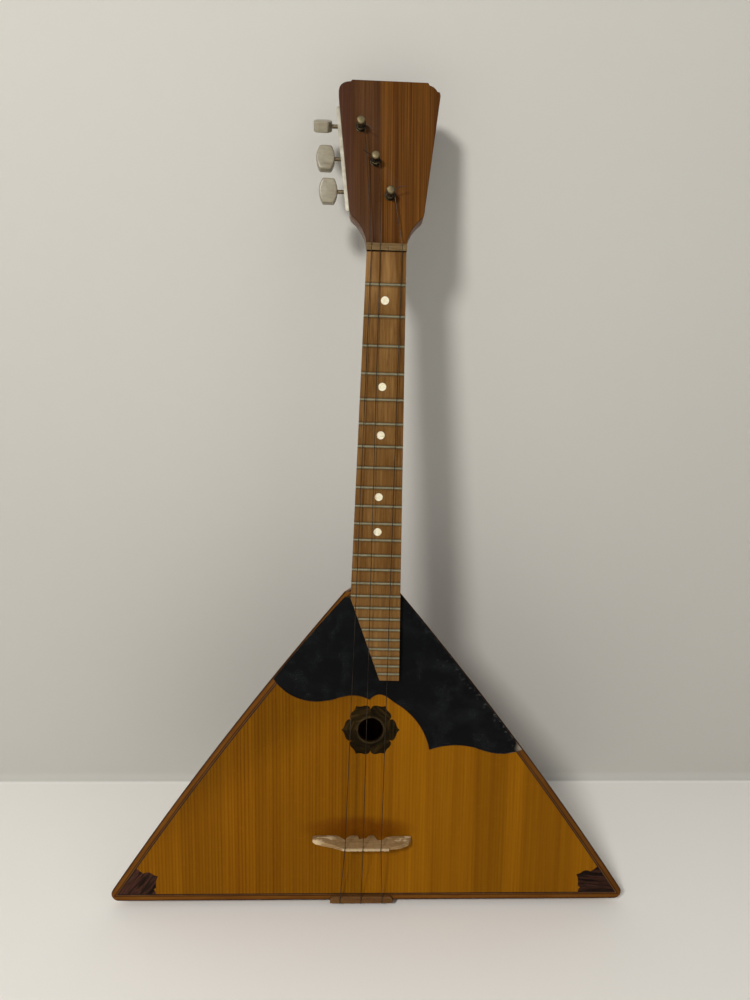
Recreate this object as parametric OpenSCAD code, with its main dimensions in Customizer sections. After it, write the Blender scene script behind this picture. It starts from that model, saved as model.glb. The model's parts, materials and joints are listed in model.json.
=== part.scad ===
// Balalaika of the prima size: triangular body, 24-fret neck, three strings, worm tuners on one plate.
// Z runs up the body's centre line, the soundboard faces -Y, X is to the viewer's right.
// The origin is the middle of the whole object's underside. All sizes in mm.

/* [Body] */
// half the body's width, measured to the sharp lower corner
body_half_width = 221; // [216:1:226]
// length of the body from the lower edge to the heel of the neck
body_length = 268; // [266:1:270]
// half the body's width where the neck joins it
neck_end_half_width = 22; // [22:0.5:23]
// how far each side bows outwards between its ends
side_bulge = 4.7; // [3.5:0.1:6]
// rounding of the two lower corners
corner_radius = 6; // [5:0.5:6]
// depth of the back behind the soundboard at the tail
back_depth_tail = 78; // [70:1:84]
// depth of the back behind the soundboard at the neck
back_depth_neck = 30; // [28:1:32]
// thickness of the soundboard
board_thickness = 2.6; // [2.4:0.1:3]
// thickness of the staves that make the back
stave_thickness = 2.5; // [2:0.1:3]

/* [Soundboard trim] */
// width of the wooden border round the soundboard
border_width = 4.6; // [4:0.1:5]
// depth of the rebate that holds the border, the lines and the inlays
inlay_depth = 1.2; // [1:0.1:1.4]
// height of the sound hole above the lower edge
hole_height = 152; // [151:0.5:153]
// radius of the sound hole
hole_radius = 10.1; // [9:0.1:11]
// distance from the sound hole's centre to the tips of the rosette
rosette_tip_radius = 24; // [23:0.5:25]
// thickness of the pickguard
guard_thickness = 1.2; // [1:0.1:1.4]

/* [Neck] */
// distance from the lower edge of the body to the nut
nut_height = 529.3; // [528:0.1:530]
// vibrating length that the frets are spaced for
scale_length = 435; // [433:1:437]
// angle by which the neck leans off the body's centre line
neck_lean = 1.06; // [0.9:0.01:1.2]
// width of the fingerboard at the nut
nut_width = 29.4; // [29:0.1:30]
// width of the fingerboard at the sixteenth fret
fret16_width = 39.2; // [39:0.1:40]
// thickness of the fingerboard
fingerboard_thickness = 6; // [5:0.5:6]
// thickness of the neck behind the fingerboard, near the nut
neck_depth = 13; // [12:0.5:14]
// number of frets
fret_count = 24; // [17:1:24]

/* [Head] */
// angle by which the head is bent back
head_tilt = 8; // [7:0.5:9]
// length of the head above the nut
head_length = 121; // [120:1:123]
// thickness of the head's wood
head_thickness = 12; // [11:0.5:13]
// thickness of the veneer on the head's face
veneer_thickness = 2.4; // [2:0.1:2.6]

/* [Tuners] */
// number of teeth on each gear
gear_teeth = 15; // [15]
// distance between neighbouring string posts along the head
post_spacing = 25; // [25:0.5:26]
// radius of each string post
post_radius = 3; // [3:0.1:3.2]
// length of each knob along its shaft
knob_length = 14.2; // [13:0.1:15]
// width of each knob across its shaft
knob_width = 17.4; // [16:0.1:18]
// thickness of each knob
knob_thickness = 8; // [7:0.5:9]

/* [Strings and bridge] */
// height of the loose bridge's middle above the body's lower edge
bridge_position = 56.5; // [50:0.5:94]
// length of the bridge from end to end
bridge_length = 82; // [80:1:84]
// height of the bridge at the strings
bridge_height = 17; // [16:0.5:18]
// radius of each string
string_radius = 0.35; // [0.3:0.05:0.4]

/* [Hidden] */
// the names of all sub-parts
// the sub-part to draw, or all of them

// a distance by which a cutter passes through the surface it cuts
over = 1;
// the glue line between the back and the blocks and linings inside it
glue_gap = 0.3;

// The modules below draw with Y = 0 on the soundboard's face and Z = 0 at the body's lower edge.
// This moves them so that the origin is in the middle of the whole depth, level with the lowest pins.
frame_depth = 31;
module placed() {
    translate([0, -frame_depth, pin_out + pin_head_height])
        children();
}

// the side of the body is an arc of a large circle through the lower corner and the neck joint
side_chord = norm([body_half_width - neck_end_half_width, body_length]);
side_radius = (side_chord * side_chord / 4 + side_bulge * side_bulge) / (2 * side_bulge);
side_centre_x = (body_half_width + neck_end_half_width) / 2
    - body_length / side_chord * (side_radius - side_bulge);
side_centre_z = body_length / 2
    - (body_half_width - neck_end_half_width) / side_chord * (side_radius - side_bulge);
side_steps = 24;

function side_x(z, inset = 0) =
    side_centre_x + sqrt(pow(side_radius - inset, 2) - pow(z - side_centre_z, 2));

// the rounded lower corner: its centre, and the angles its arc runs between
corner_x = side_x(corner_radius, corner_radius);
corner_end_angle = atan2(corner_radius - side_centre_z, corner_x - side_centre_x);
corner_top = corner_radius + corner_radius * sin(corner_end_angle);
corner_mitre_angle = atan2(-corner_radius, side_x(0) - corner_x);
corner_steps = 6;

function corner_points(from, to) = [
    for (i = [0 : corner_steps])
        let (a = from + (to - from) * i / corner_steps)
            [corner_x + corner_radius * cos(a), corner_radius + corner_radius * sin(a)]
];
function side_points(inset, from, to) = [
    for (i = [0 : side_steps])
        let (z = from + (to - from) * i / side_steps)
            [side_x(z, inset), z]
];
function reversed(list) = [for (i = [len(list) - 1 : -1 : 0]) list[i]];
function mirrored(list) = [for (p = list) [-p.x, p.y]];

// right half of the body outline, from the lower edge up to the neck
right_outline = concat(
    corner_points(-90, corner_end_angle),
    side_points(0, corner_top + 1, body_length)
);
body_outline = concat(right_outline, reversed(mirrored(right_outline)));
function inner_outline(inset) =
    let (right = side_points(inset, inset, body_length))
        concat(right, reversed(mirrored(right)));

// a curve from a to b that bows to its left by bow
function bowed(a, b, bow, steps) =
    let (
        chord = norm(b - a),
        along = (b - a) / chord,
        left = [-along.y, along.x]
    ) [
        for (i = [0 : steps - 1])
            let (t = i / steps)
                a + along * (t * chord) + left * (4 * bow * t * (1 - t))
    ];
// an outline through corners [x, z, bow], each joined to the next by a bowed curve
function bowed_outline(corners, steps) = [
    for (i = [0 : len(corners) - 1])
        let (a = corners[i], b = corners[(i + 1) % len(corners)])
            each bowed([a.x, a.y], [b.x, b.y], a.z, steps)
];

// lays a shape drawn in X and Z as a plate that starts at y_front and is this thick
module plate(y_front, thickness) {
    translate([0, y_front + thickness, 0])
        rotate([90, 0, 0])
            linear_extrude(height = thickness)
                children();
}

// ---------- back of the body ----------
back_half_angle = 2 * atan(back_depth_tail / body_half_width);
back_cos = cos(back_half_angle);
tail_board_thickness = 2.5;
stave_sections = 14;
stave_count = 7;

function back_depth(z) =
    back_depth_tail + (back_depth_neck - back_depth_tail) * z / body_length;
// point of the back's outer surface: share runs from -1 at the left edge to 1 at the right edge
function back_outer(z, share) =
    let (a = share * back_half_angle)
        [
            side_x(z) * sin(a) / sin(back_half_angle),
            board_thickness + back_depth(z) * (cos(a) - back_cos) / (1 - back_cos)
        ];
function back_normal(z, share) =
    let (
        a = share * back_half_angle,
        n = [
            back_depth(z) * sin(a) / (1 - back_cos),
            side_x(z) * cos(a) / sin(back_half_angle)
        ]
    ) n / norm(n);
// the same point moved inwards; at the edges it moves along the soundboard instead
function back_inner(z, share, inset) =
    let (
        p = back_outer(z, share),
        n = back_normal(z, share)
    ) abs(share) > 0.99
        ? [p.x - inset / n.x, p.y]
        : p - inset * n;

// a solid skinned over rings of points; each ring runs anticlockwise as seen from above.
// The second half of each ring is split along the other diagonal, so that neighbours match.
module skinned(rings) {
    count = len(rings[0]);
    last = len(rings) - 1;
    points = [for (ring = rings) each ring];
    sides = [
        for (i = [0 : last - 1])
            for (j = [0 : count - 1])
                let (
                    a = i * count + j,
                    b = i * count + (j + 1) % count,
                    c = a + count,
                    d = b + count
                )
                    each (j < count / 2 ? [[a, c, b], [b, c, d]] : [[a, c, d], [a, d, b]])
    ];
    first_end = [for (j = [0 : count - 1]) j];
    last_end = [for (j = [count - 1 : -1 : 0]) last * count + j];
    polyhedron(points = points, faces = concat([first_end, last_end], sides), convexity = 4);
}

function stave_share(edge) = 2 * edge / stave_count - 1;
function section_z(i) =
    tail_board_thickness + (body_length - tail_board_thickness) * i / stave_sections;
function sections_between(low, high) = [
    for (i = [0 : stave_sections])
        if (section_z(i) > low && section_z(i) < high)
            section_z(i)
];

// one stave, counted from the left; both of its long edges lie on the planes its neighbours use
module stave(number) {
    left = stave_share(number);
    right = stave_share(number + 1);
    rings = [
        for (i = [0 : stave_sections])
            let (
                z = section_z(i),
                a = back_outer(z, left),
                b = back_outer(z, right),
                c = back_inner(z, right, stave_thickness),
                d = back_inner(z, left, stave_thickness)
            ) [
                [d.x, d.y, z],
                [c.x, c.y, z],
                [b.x, b.y, z],
                [a.x, a.y, z]
            ]
    ];
    color("#6b3f1d")
        if (number == 0 || number == stave_count - 1)
            intersection() {
                skinned(rings);
                plate(0, board_thickness + back_depth_tail + over)
                    polygon(body_outline);
            }
        else
            skinned(rings);
}

module tail_board() {
    edge = [
        for (k = [0 : stave_count])
            back_outer(tail_board_thickness, stave_share(k))
    ];
    color("#5e3518")
        difference() {
            intersection() {
                linear_extrude(height = tail_board_thickness)
                    polygon(edge);
                plate(0, board_thickness + back_depth_tail + over)
                    polygon(body_outline);
            }
            pin_holes();
        }
}

block_gap = stave_thickness + 3 * glue_gap;
neck_block_foot = 214;
tail_block_height = 12;
// how far a block reaches across each outer stave, as a share of the stave's width
block_reach = 0.5;

// where the front corner of a block meets the inside of the outer stave
function block_corner(z, side) =
    let (
        seam = back_inner(z, side * stave_share(stave_count - 1), block_gap),
        edge = back_inner(z, side, block_gap)
    ) seam + block_reach * (edge - seam);

function block_ring(z) =
    let (
        back = [
            for (k = [stave_count : -1 : 0])
                let (
                    p = k == stave_count ? block_corner(z, 1)
                        : k == 0 ? block_corner(z, -1)
                        : back_inner(z, stave_share(k), block_gap)
                )
                    [p.x, p.y, z]
        ]
    ) concat(
        back,
        [
            [back[stave_count].x, board_thickness, z],
            [back[0].x, board_thickness, z]
        ]
    );

// a block that fills the inside of the back between two heights, with a ring at each stave section
module inside_block(low, high) {
    color("#b98a52")
        skinned([for (z = concat([low], sections_between(low, high), [high])) block_ring(z)]);
}

module neck_block() {
    inside_block(neck_block_foot, body_length - glue_gap);
}

module tail_block() {
    color("#b98a52")
        difference() {
            inside_block(tail_board_thickness + glue_gap, tail_board_thickness + tail_block_height);
            pin_holes();
        }
}

// a strip of triangular section glued into the corner between the soundboard and a side stave
lining_width = 7;
lining_foot = 18;
lining_top = neck_block_foot - 2;
lining_levels = concat([lining_foot], sections_between(lining_foot, lining_top), [lining_top]);

module lining(side) {
    rings = [
        for (z = lining_levels)
            let (
                edge = back_inner(z, 1, block_gap),
                next = back_inner(z, stave_share(stave_count - 1), block_gap),
                along = (next - edge) / norm(next - edge),
                foot = edge - [glue_gap, 0],
                deep = foot + along * lining_width,
                inner = foot - [lining_width, 0]
            ) side > 0
                ? [[foot.x, foot.y, z], [deep.x, deep.y, z], [inner.x, inner.y, z]]
                : [[-inner.x, inner.y, z], [-deep.x, deep.y, z], [-foot.x, foot.y, z]]
    ];
    color("#c79a63") skinned(rings);
}

// heights of the three bars, from the neck to the tail
brace_heights = [184, 122, 72];
brace_width = 6;
brace_depth = 10;
brace_end_depth = 3;
brace_clearance = 18;
brace_ramp = 26;

// a bar across the inside of the soundboard, thinned towards its ends
module brace(z) {
    reach = side_x(z) - brace_clearance;
    back = board_thickness;
    color("#d0a76c")
        translate([0, 0, z - brace_width / 2])
            linear_extrude(height = brace_width)
                polygon([
                    [-reach, back],
                    [reach, back],
                    [reach, back + brace_end_depth],
                    [reach - brace_ramp, back + brace_depth],
                    [brace_ramp - reach, back + brace_depth],
                    [-reach, back + brace_end_depth]
                ]);
}

// ---------- soundboard and its trim ----------
light_line_width = 0.6;
dark_line_width = 0.8;
field_inset = border_width + light_line_width + dark_line_width;

rosette_petals = 6;
rosette_notch_radius = 18;
rosette_shoulder_radius = 21.6;
rosette_shoulder_share = 0.5;
rosette_steps = 12;

// radius of the rosette at a share of the way from a petal's tip (0) to the notch beside it (1)
function petal_radius(share) =
    share > rosette_shoulder_share
        ? let (t = (1 - share) / (1 - rosette_shoulder_share))
            rosette_notch_radius
                + (rosette_shoulder_radius - rosette_notch_radius) * sqrt(1 - pow(1 - t, 2))
        : let (t = 1 - share / rosette_shoulder_share)
            rosette_shoulder_radius
                + (rosette_tip_radius - rosette_shoulder_radius) * pow(t, 3);
petal_angle = 360 / rosette_petals;
rosette_outline = [
    for (petal = [0 : rosette_petals - 1])
        for (i = [-rosette_steps : rosette_steps - 1])
            let (
                a = petal * petal_angle + petal_angle / 2 * i / rosette_steps,
                r = petal_radius(abs(i) / rosette_steps)
            )
                [r * cos(a), hole_height + r * sin(a)]
];

// a corner inlay fills the field's lower corner and ends in scallops
inlay_steps = 6;
inlay_corner = [side_x(field_inset, field_inset), field_inset];
inlay_side_top = 29.3;
inlay_scallops = [
    [side_x(inlay_side_top, field_inset), inlay_side_top, 0.2],
    [188.6, 24.9, -1.2],
    [181.5, 24.6, 0.4],
    [176.6, 22.3, 0.9],
    [178.4, 12, 0],
    [180.4, 10.2, -0.6],
    [179, field_inset, 0]
];
inlay_outline = concat(
    [inlay_corner],
    [
        for (i = [0 : len(inlay_scallops) - 2])
            let (a = inlay_scallops[i], b = inlay_scallops[i + 1])
                each bowed([a.x, a.y], [b.x, b.y], a.z, inlay_steps)
    ],
    [[inlay_scallops[len(inlay_scallops) - 1].x, field_inset]]
);

module soundboard() {
    color("#a9701f")
        difference() {
            union() {
                plate(inlay_depth, board_thickness - inlay_depth)
                    polygon(body_outline);
                plate(0, inlay_depth)
                    difference() {
                        polygon(inner_outline(field_inset));
                        polygon(rosette_outline);
                        polygon(inlay_outline);
                        polygon(mirrored(inlay_outline));
                    }
            }
            translate([0, -over, hole_height])
                rotate([-90, 0, 0])
                    cylinder(r = hole_radius, h = board_thickness + 2 * over, $fn = 96);
        }
}

module rosette() {
    color("#2c2413")
        difference() {
            plate(0, inlay_depth)
                polygon(rosette_outline);
            translate([0, -over, hole_height])
                rotate([-90, 0, 0])
                    cylinder(r = hole_radius, h = inlay_depth + 2 * over, $fn = 96);
        }
}

module corner_inlay(side) {
    color("#33201c")
        plate(0, inlay_depth)
            polygon(side > 0 ? inlay_outline : mirrored(inlay_outline));
}

// a border strip along one side, mitred at the lower corner
module border_side(side) {
    outer = concat(
        corner_points(corner_mitre_angle, corner_end_angle),
        side_points(0, corner_top + 1, body_length)
    );
    inner = reversed(side_points(border_width, border_width, body_length));
    strip = concat(outer, inner);
    color("#7a4718")
        plate(0, inlay_depth)
            polygon(side > 0 ? strip : mirrored(strip));
}

module border_tail() {
    outer = corner_points(-90, corner_mitre_angle);
    right = concat(outer, [[side_x(border_width, border_width), border_width]]);
    color("#7a4718")
        plate(0, inlay_depth)
            polygon(concat(right, reversed(mirrored(right))));
}

// a line let in round the field, between two insets from the body's edge
module purfling(from, to, tint) {
    color(tint)
        plate(0, inlay_depth)
            difference() {
                polygon(inner_outline(from));
                polygon(inner_outline(to));
            }
}

// the pickguard covers the soundboard's upper half; its lower edge is a row of scallops
guard_steps = 10;
guard_outline = bowed_outline(
    [
        [-21.5, 264.5, -1],
        [-79, 196, -4.6],
        [-46.6, 176.8, -0.4],
        [-31, 178.4, 0.5],
        [-16, 182.2, 1],
        [-1.1, 178.3, 3.6],
        [13.6, 180.3, 0],
        [20.5, 175.2, 5.2],
        [48.6, 135.2, 3],
        [86, 137, -0.2],
        [100, 132.5, -2],
        [125.5, 135.3, -1.2],
        [24, 265, 0]
    ],
    guard_steps
);

module pickguard() {
    color("#191a1d")
        plate(-guard_thickness, guard_thickness)
            polygon(guard_outline);
}

// ---------- neck ----------
// the point on the centre line that the neck leans about
lean_height = 130;

module on_neck() {
    translate([0, 0, lean_height])
        rotate([0, neck_lean, 0])
            translate([0, 0, -lean_height])
                children();
}
// where a point of the upright neck comes to on the leaning neck
function leaned(p) = [
    p.x * cos(neck_lean) + (p.z - lean_height) * sin(neck_lean),
    p.y,
    lean_height - p.x * sin(neck_lean) + (p.z - lean_height) * cos(neck_lean)
];

neck_front = -guard_thickness;
board_top = neck_front - fingerboard_thickness;
fret16_z = nut_height - scale_length * (1 - pow(2, -16 / 12));
fingerboard_taper = (fret16_width - nut_width) / 2 / (nut_height - fret16_z);
function board_half(z) = nut_width / 2 + (nut_height - z) * fingerboard_taper;
function fret_z(n) = nut_height - scale_length * (1 - pow(2, -n / 12));

// the fingerboard's lower end is cut slantwise on the left, so the last frets are short
board_end_z = 197.4;
slant_top_z = 264.5;
slant_end_x = 5.2;
function slant_x(z) =
    z > slant_top_z
        ? -board_half(z)
        : -board_half(slant_top_z)
            + (slant_end_x + board_half(slant_top_z)) * (slant_top_z - z) / (slant_top_z - board_end_z);

fret_slot_width = 0.6;
fret_tang = 1.6;
fret_crown_radius = 1;
fret_crown_height = 0.9;
dot_radius = 3.1;
dot_depth = 1;
dot_frets = [2, 5, 7, 10, 12];

module fingerboard() {
    outline = [
        [-nut_width / 2, nut_height],
        [-board_half(slant_top_z), slant_top_z],
        [slant_end_x, board_end_z],
        [board_half(board_end_z), board_end_z],
        [nut_width / 2, nut_height]
    ];
    color("#8a623a")
        on_neck()
            difference() {
                plate(board_top, fingerboard_thickness)
                    polygon(outline);
                for (n = [1 : fret_count])
                    translate([-fret16_width, board_top - over, fret_z(n) - fret_slot_width / 2])
                        cube([2 * fret16_width, fret_tang + over, fret_slot_width]);
                for (n = dot_frets)
                    translate([0, board_top - over, (fret_z(n) + fret_z(n - 1)) / 2])
                        rotate([-90, 0, 0])
                            cylinder(r = dot_radius, h = dot_depth + over, $fn = 48);
            }
}

// one fret: a rounded crown on the fingerboard and a tang in its slot
module fret(n) {
    z = fret_z(n);
    left = slant_x(z - fret_crown_radius);
    right = board_half(z);
    sunk = fret_crown_radius - fret_crown_height;
    translate([left, board_top, z]) {
        difference() {
            translate([0, sunk, 0])
                rotate([0, 90, 0])
                    cylinder(r = fret_crown_radius, h = right - left, $fn = 32);
            translate([-over, 0, -2 * fret_crown_radius])
                cube([right - left + 2 * over, 2 * fret_crown_radius + over, 4 * fret_crown_radius]);
        }
        translate([0, 0, -fret_slot_width / 2])
            cube([right - left, fret_tang, fret_slot_width]);
    }
}

module frets() {
    color("#b9b29a")
        on_neck()
            for (n = [1 : fret_count])
                fret(n);
}

module position_dots() {
    color("#e6dfc8")
        on_neck()
            for (n = dot_frets)
                translate([0, board_top, (fret_z(n) + fret_z(n - 1)) / 2])
                    rotate([-90, 0, 0])
                        cylinder(r = dot_radius, h = dot_depth, $fn = 48);
}

// nut: a higher part in front of the fingerboard's end and a lower step behind it
nut_length = 5.2;
nut_step = 2.2;
nut_high = 1.7;
nut_low = 0.2;
string_nut_x = [-11.2, -4.8, 11.4];
spare_notch_x = 1.6;
notch_radius = 0.5;
nut_overhang = 0.3;
string_over_nut = board_top - nut_high + string_radius;

module nut() {
    half = nut_width / 2 + nut_overhang;
    color("#b79b6c")
        on_neck()
            difference() {
                translate([-half, 0, nut_height])
                    rotate([90, 0, 90])
                        linear_extrude(height = 2 * half)
                            polygon([
                                [neck_front, 0],
                                [board_top - nut_high, 0],
                                [board_top - nut_high, nut_length - nut_step],
                                [board_top - nut_low, nut_length - nut_step],
                                [board_top - nut_low, nut_length],
                                [neck_front, nut_length]
                            ]);
                for (x = concat(string_nut_x, [spare_notch_x]))
                    translate([x, string_over_nut, nut_height - over])
                        cylinder(r = notch_radius, h = nut_length + 2 * over, $fn = 24);
            }
}

// ---------- head ----------
head_start = [0, neck_front - veneer_thickness, nut_height + nut_length];

// the room below the head that the nut fills, from in front of it back to depth y_back
module nut_room(y_back) {
    on_neck()
        translate([-nut_width, board_top - fingerboard_thickness, nut_height - nut_length])
            cube([2 * nut_width, y_back - board_top + fingerboard_thickness, 2 * nut_length]);
}

module on_head() {
    on_neck()
        translate(head_start)
            rotate([-head_tilt, 0, 0])
                children();
}
function head_point(p) = leaned(
    head_start + [
        p.x,
        p.y * cos(head_tilt) + p.z * sin(head_tilt),
        -p.y * sin(head_tilt) + p.z * cos(head_tilt)
    ]
);

head_foot_half = 15;
head_flare = 2.4;
head_steps = 6;
head_top_step = 27.8;
// the head's outline: a flared foot, straight sides, and rounded upper corners between small steps
head_outline = bowed_outline(
    [
        [head_foot_half, 0, head_flare],
        [26.2, 20.4, -0.5],
        [27.8, 27, 0],
        [37.2, head_length - 9.4, 0],
        [36.6, head_length - 6.7, 0],
        [34.8, head_length - 6.4, -0.9],
        [head_top_step + 1, head_length - 1.9, 0],
        [head_top_step, head_length, 0],
        [-head_top_step - 1, head_length, 0],
        [-head_top_step - 2, head_length - 1.3, -3.5],
        [-38.5, head_length - 11, 0],
        [-28.6, 27, -0.5],
        [-26.8, 20.8, head_flare],
        [-head_foot_half, 0, 0]
    ],
    head_steps
);

neck_sections = 14;
neck_sides = 28;
heel_start = 310;
heel_foot = 258;
heel_extra = 19;
neck_growth = 3;
neck_squareness = 0.8;
heel_curve = 1.6;
neck_lap = 8;
// how far below the veneer the neck is cut back where the head begins
neck_cut = 0.6;
head_back = veneer_thickness + head_thickness;

// depth of the neck behind its front face; it swells into the heel near the body
function neck_depth_at(z) =
    neck_depth
        + neck_growth * (nut_height - z) / (nut_height - heel_foot)
        + (z < heel_start ? heel_extra * pow((heel_start - z) / (heel_start - heel_foot), heel_curve) : 0);
function neck_ring(z) = [
    for (j = [0 : neck_sides])
        let (a = 180 * j / neck_sides)
            [board_half(z) * cos(a), neck_front + neck_depth_at(z) * pow(sin(a), neck_squareness), z]
];

module neck() {
    shaft_top = nut_height + nut_length;
    heel_rings = 8;
    heel_levels = [for (i = [0 : heel_rings]) heel_foot + (heel_start - heel_foot) * i / heel_rings];
    shaft_levels = [
        for (i = [1 : neck_sections])
            heel_start + (shaft_top + neck_lap - heel_start) * i / neck_sections
    ];
    color("#7a4a22")
        difference() {
            union() {
                on_neck()
                    difference() {
                        skinned([for (z = concat(heel_levels, shaft_levels)) neck_ring(z)]);
                        translate([-nut_width, neck_front - over, shaft_top])
                            cube([2 * nut_width, over + veneer_thickness + neck_cut, 2 * neck_lap]);
                    }
                on_head()
                    plate(veneer_thickness, head_thickness)
                        polygon(head_outline);
            }
            translate([-body_half_width, -back_depth_tail, 0])
                cube([2 * body_half_width, 2 * back_depth_tail, body_length]);
            nut_room(neck_front);
            on_head() {
                for (i = [0 : 2])
                    translate([post_x(i), 0, post_z(i)])
                        rotate([-90, 0, 0])
                            cylinder(r = bushing_radius, h = head_back + over, $fn = 48);
                plate_screw_places()
                    cylinder(r = screw_radius, h = screw_length, $fn = 32);
            }
        }
}

module head_veneer() {
    color("#4a2f20")
        difference() {
            on_head()
                difference() {
                    plate(0, veneer_thickness)
                        polygon(head_outline);
                    for (i = [0 : 2])
                        translate([post_x(i), -over, post_z(i)])
                            rotate([-90, 0, 0])
                                cylinder(r = bushing_radius, h = veneer_thickness + 2 * over, $fn = 48);
                }
            nut_room(0);
        }
}

// ---------- tuners, in the head's frame: X across, Z up the head, Y to its back ----------
// numbered 0 at the top of the head, 1 in the middle and 2 nearest the nut
post_top_x = -21.5;
post_step_x = 11.5;
post_top_z = 86.3;
post_clearance = 0.05;
bushing_radius = 4;
bushing_length = 9;

function post_x(i) = post_top_x + post_step_x * i;
function post_z(i) = post_top_z - post_spacing * i;

module post_bushings() {
    color("#b08d4a")
        on_head()
            for (i = [0 : 2])
                translate([post_x(i), 0, post_z(i)])
                    rotate([-90, 0, 0])
                        difference() {
                            cylinder(r = bushing_radius, h = bushing_length, $fn = 48);
                            translate([0, 0, -over])
                                cylinder(
                                    r = post_radius + post_clearance,
                                    h = bushing_length + 2 * over,
                                    $fn = 48
                                );
                        }
}

// worm and gear
tooth_pitch = 2.85;
gear_pitch_radius = gear_teeth * tooth_pitch / 360 * 180 / PI;
gear_addendum = 0.6;
gear_dedendum = 0.85;
gear_tip = gear_pitch_radius + gear_addendum;
gear_root = gear_pitch_radius - gear_dedendum;
gear_thickness = 3;
gear_tooth_half_share = 0.13;
gear_tip_half_share = 0.09;
gear_root_half_share = 0.19;
worm_pitch_radius = 2.8;
worm_tip = worm_pitch_radius + gear_addendum;
worm_root = worm_pitch_radius - gear_dedendum;
worm_length = 9;
worm_points = 24;
worm_crest_share = 0.06;
worm_flank_share = 0.12;
worm_slices_per_turn = 14;
worm_turns = worm_length / tooth_pitch;
worm_offset = gear_pitch_radius + worm_pitch_radius;

plate_thickness = 1.2;
plate_back = head_back + plate_thickness;
// how far the middle of the gears stands off the plate
gear_standoff = 4.6;
gear_level = plate_back + gear_standoff;
shaft_radius = 1.5;
shaft_clearance = 0.05;
lug_thickness = 1.5;
lug_radius = 3.4;
lug_gap = 0.25;
lug_edge_gap = 0.8;
// how deep the lugs are let into the plate
lug_root = 0.6;
lug_offset = worm_length / 2 + lug_gap;
post_tip = 10.5;
post_neck = 2.6;
post_stub = 2;
post_bevel = 0.6;
waist_bevel = 0.4;

// teeth on a gear, drawn with a gap pointing along +Y
module gear_shape() {
    pitch_angle = 360 / gear_teeth;
    function at(r, a) = [r * sin(a), r * cos(a)];
    polygon([
        for (i = [0 : gear_teeth - 1])
            let (a = (i + 0.5) * pitch_angle)
                each [
                    at(gear_root, a - gear_root_half_share * pitch_angle),
                    at(gear_pitch_radius, a - gear_tooth_half_share * pitch_angle),
                    at(gear_tip, a - gear_tip_half_share * pitch_angle),
                    at(gear_tip, a + gear_tip_half_share * pitch_angle),
                    at(gear_pitch_radius, a + gear_tooth_half_share * pitch_angle),
                    at(gear_root, a + gear_root_half_share * pitch_angle)
                ]
    ]);
}

module gear(i) {
    color("#b9964f")
        on_head()
            translate([post_x(i), gear_level + gear_thickness / 2, post_z(i)])
                rotate([90, 0, 0])
                    difference() {
                        linear_extrude(height = gear_thickness)
                            gear_shape();
                        translate([0, 0, -over])
                            cylinder(r = post_stub, h = gear_thickness + 2 * over, $fn = 48);
                    }
}

// radius of the worm's cross-section at a share of a turn from its crest
function worm_radius(share) =
    share < worm_crest_share
        ? worm_tip
        : share > worm_crest_share + worm_flank_share
            ? worm_root
            : worm_tip - (worm_tip - worm_root) * (share - worm_crest_share) / worm_flank_share;

module worm_thread() {
    turn = 360 * worm_turns;
    outline = [
        for (k = [0 : worm_points - 1])
            let (
                share = k / worm_points,
                r = worm_radius(min(share, 1 - share))
            )
                [r * cos(360 * share), r * sin(360 * share)]
    ];
    translate([0, 0, -worm_length / 2])
        linear_extrude(
            height = worm_length,
            twist = turn,
            slices = ceil(worm_turns * worm_slices_per_turn)
        )
            rotate(turn / 2)
                polygon(outline);
}

knob_top_x = -43.5;
knob_step_x = 2.7;
knob_stem = 2.5;
knob_stem_radius = 3.6;
knob_bore_depth = 8;
shaft_overhang = 0.8;
// how far the shafts stand turned away from the flat position of their knobs
knob_turns = [-58, 0, 8];

function knob_x(i) = knob_top_x + knob_step_x * i;
function worm_place(i) = [post_x(i), gear_level, post_z(i) + worm_offset];

// lays a shaft part, drawn along Z, along the head's X direction; its +X side points down to the gear
module on_worm_axis(i) {
    on_head()
        translate(worm_place(i))
            rotate([0, 90, 0])
                children();
}

module worm_shaft(i) {
    right_end = lug_offset + lug_thickness + shaft_overhang;
    left_end = post_x(i) - knob_x(i) + knob_bore_depth;
    color("#a89263")
        on_worm_axis(i) {
            worm_thread();
            translate([0, 0, -left_end])
                cylinder(r = shaft_radius, h = left_end + right_end, $fn = 48);
        }
}

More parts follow.
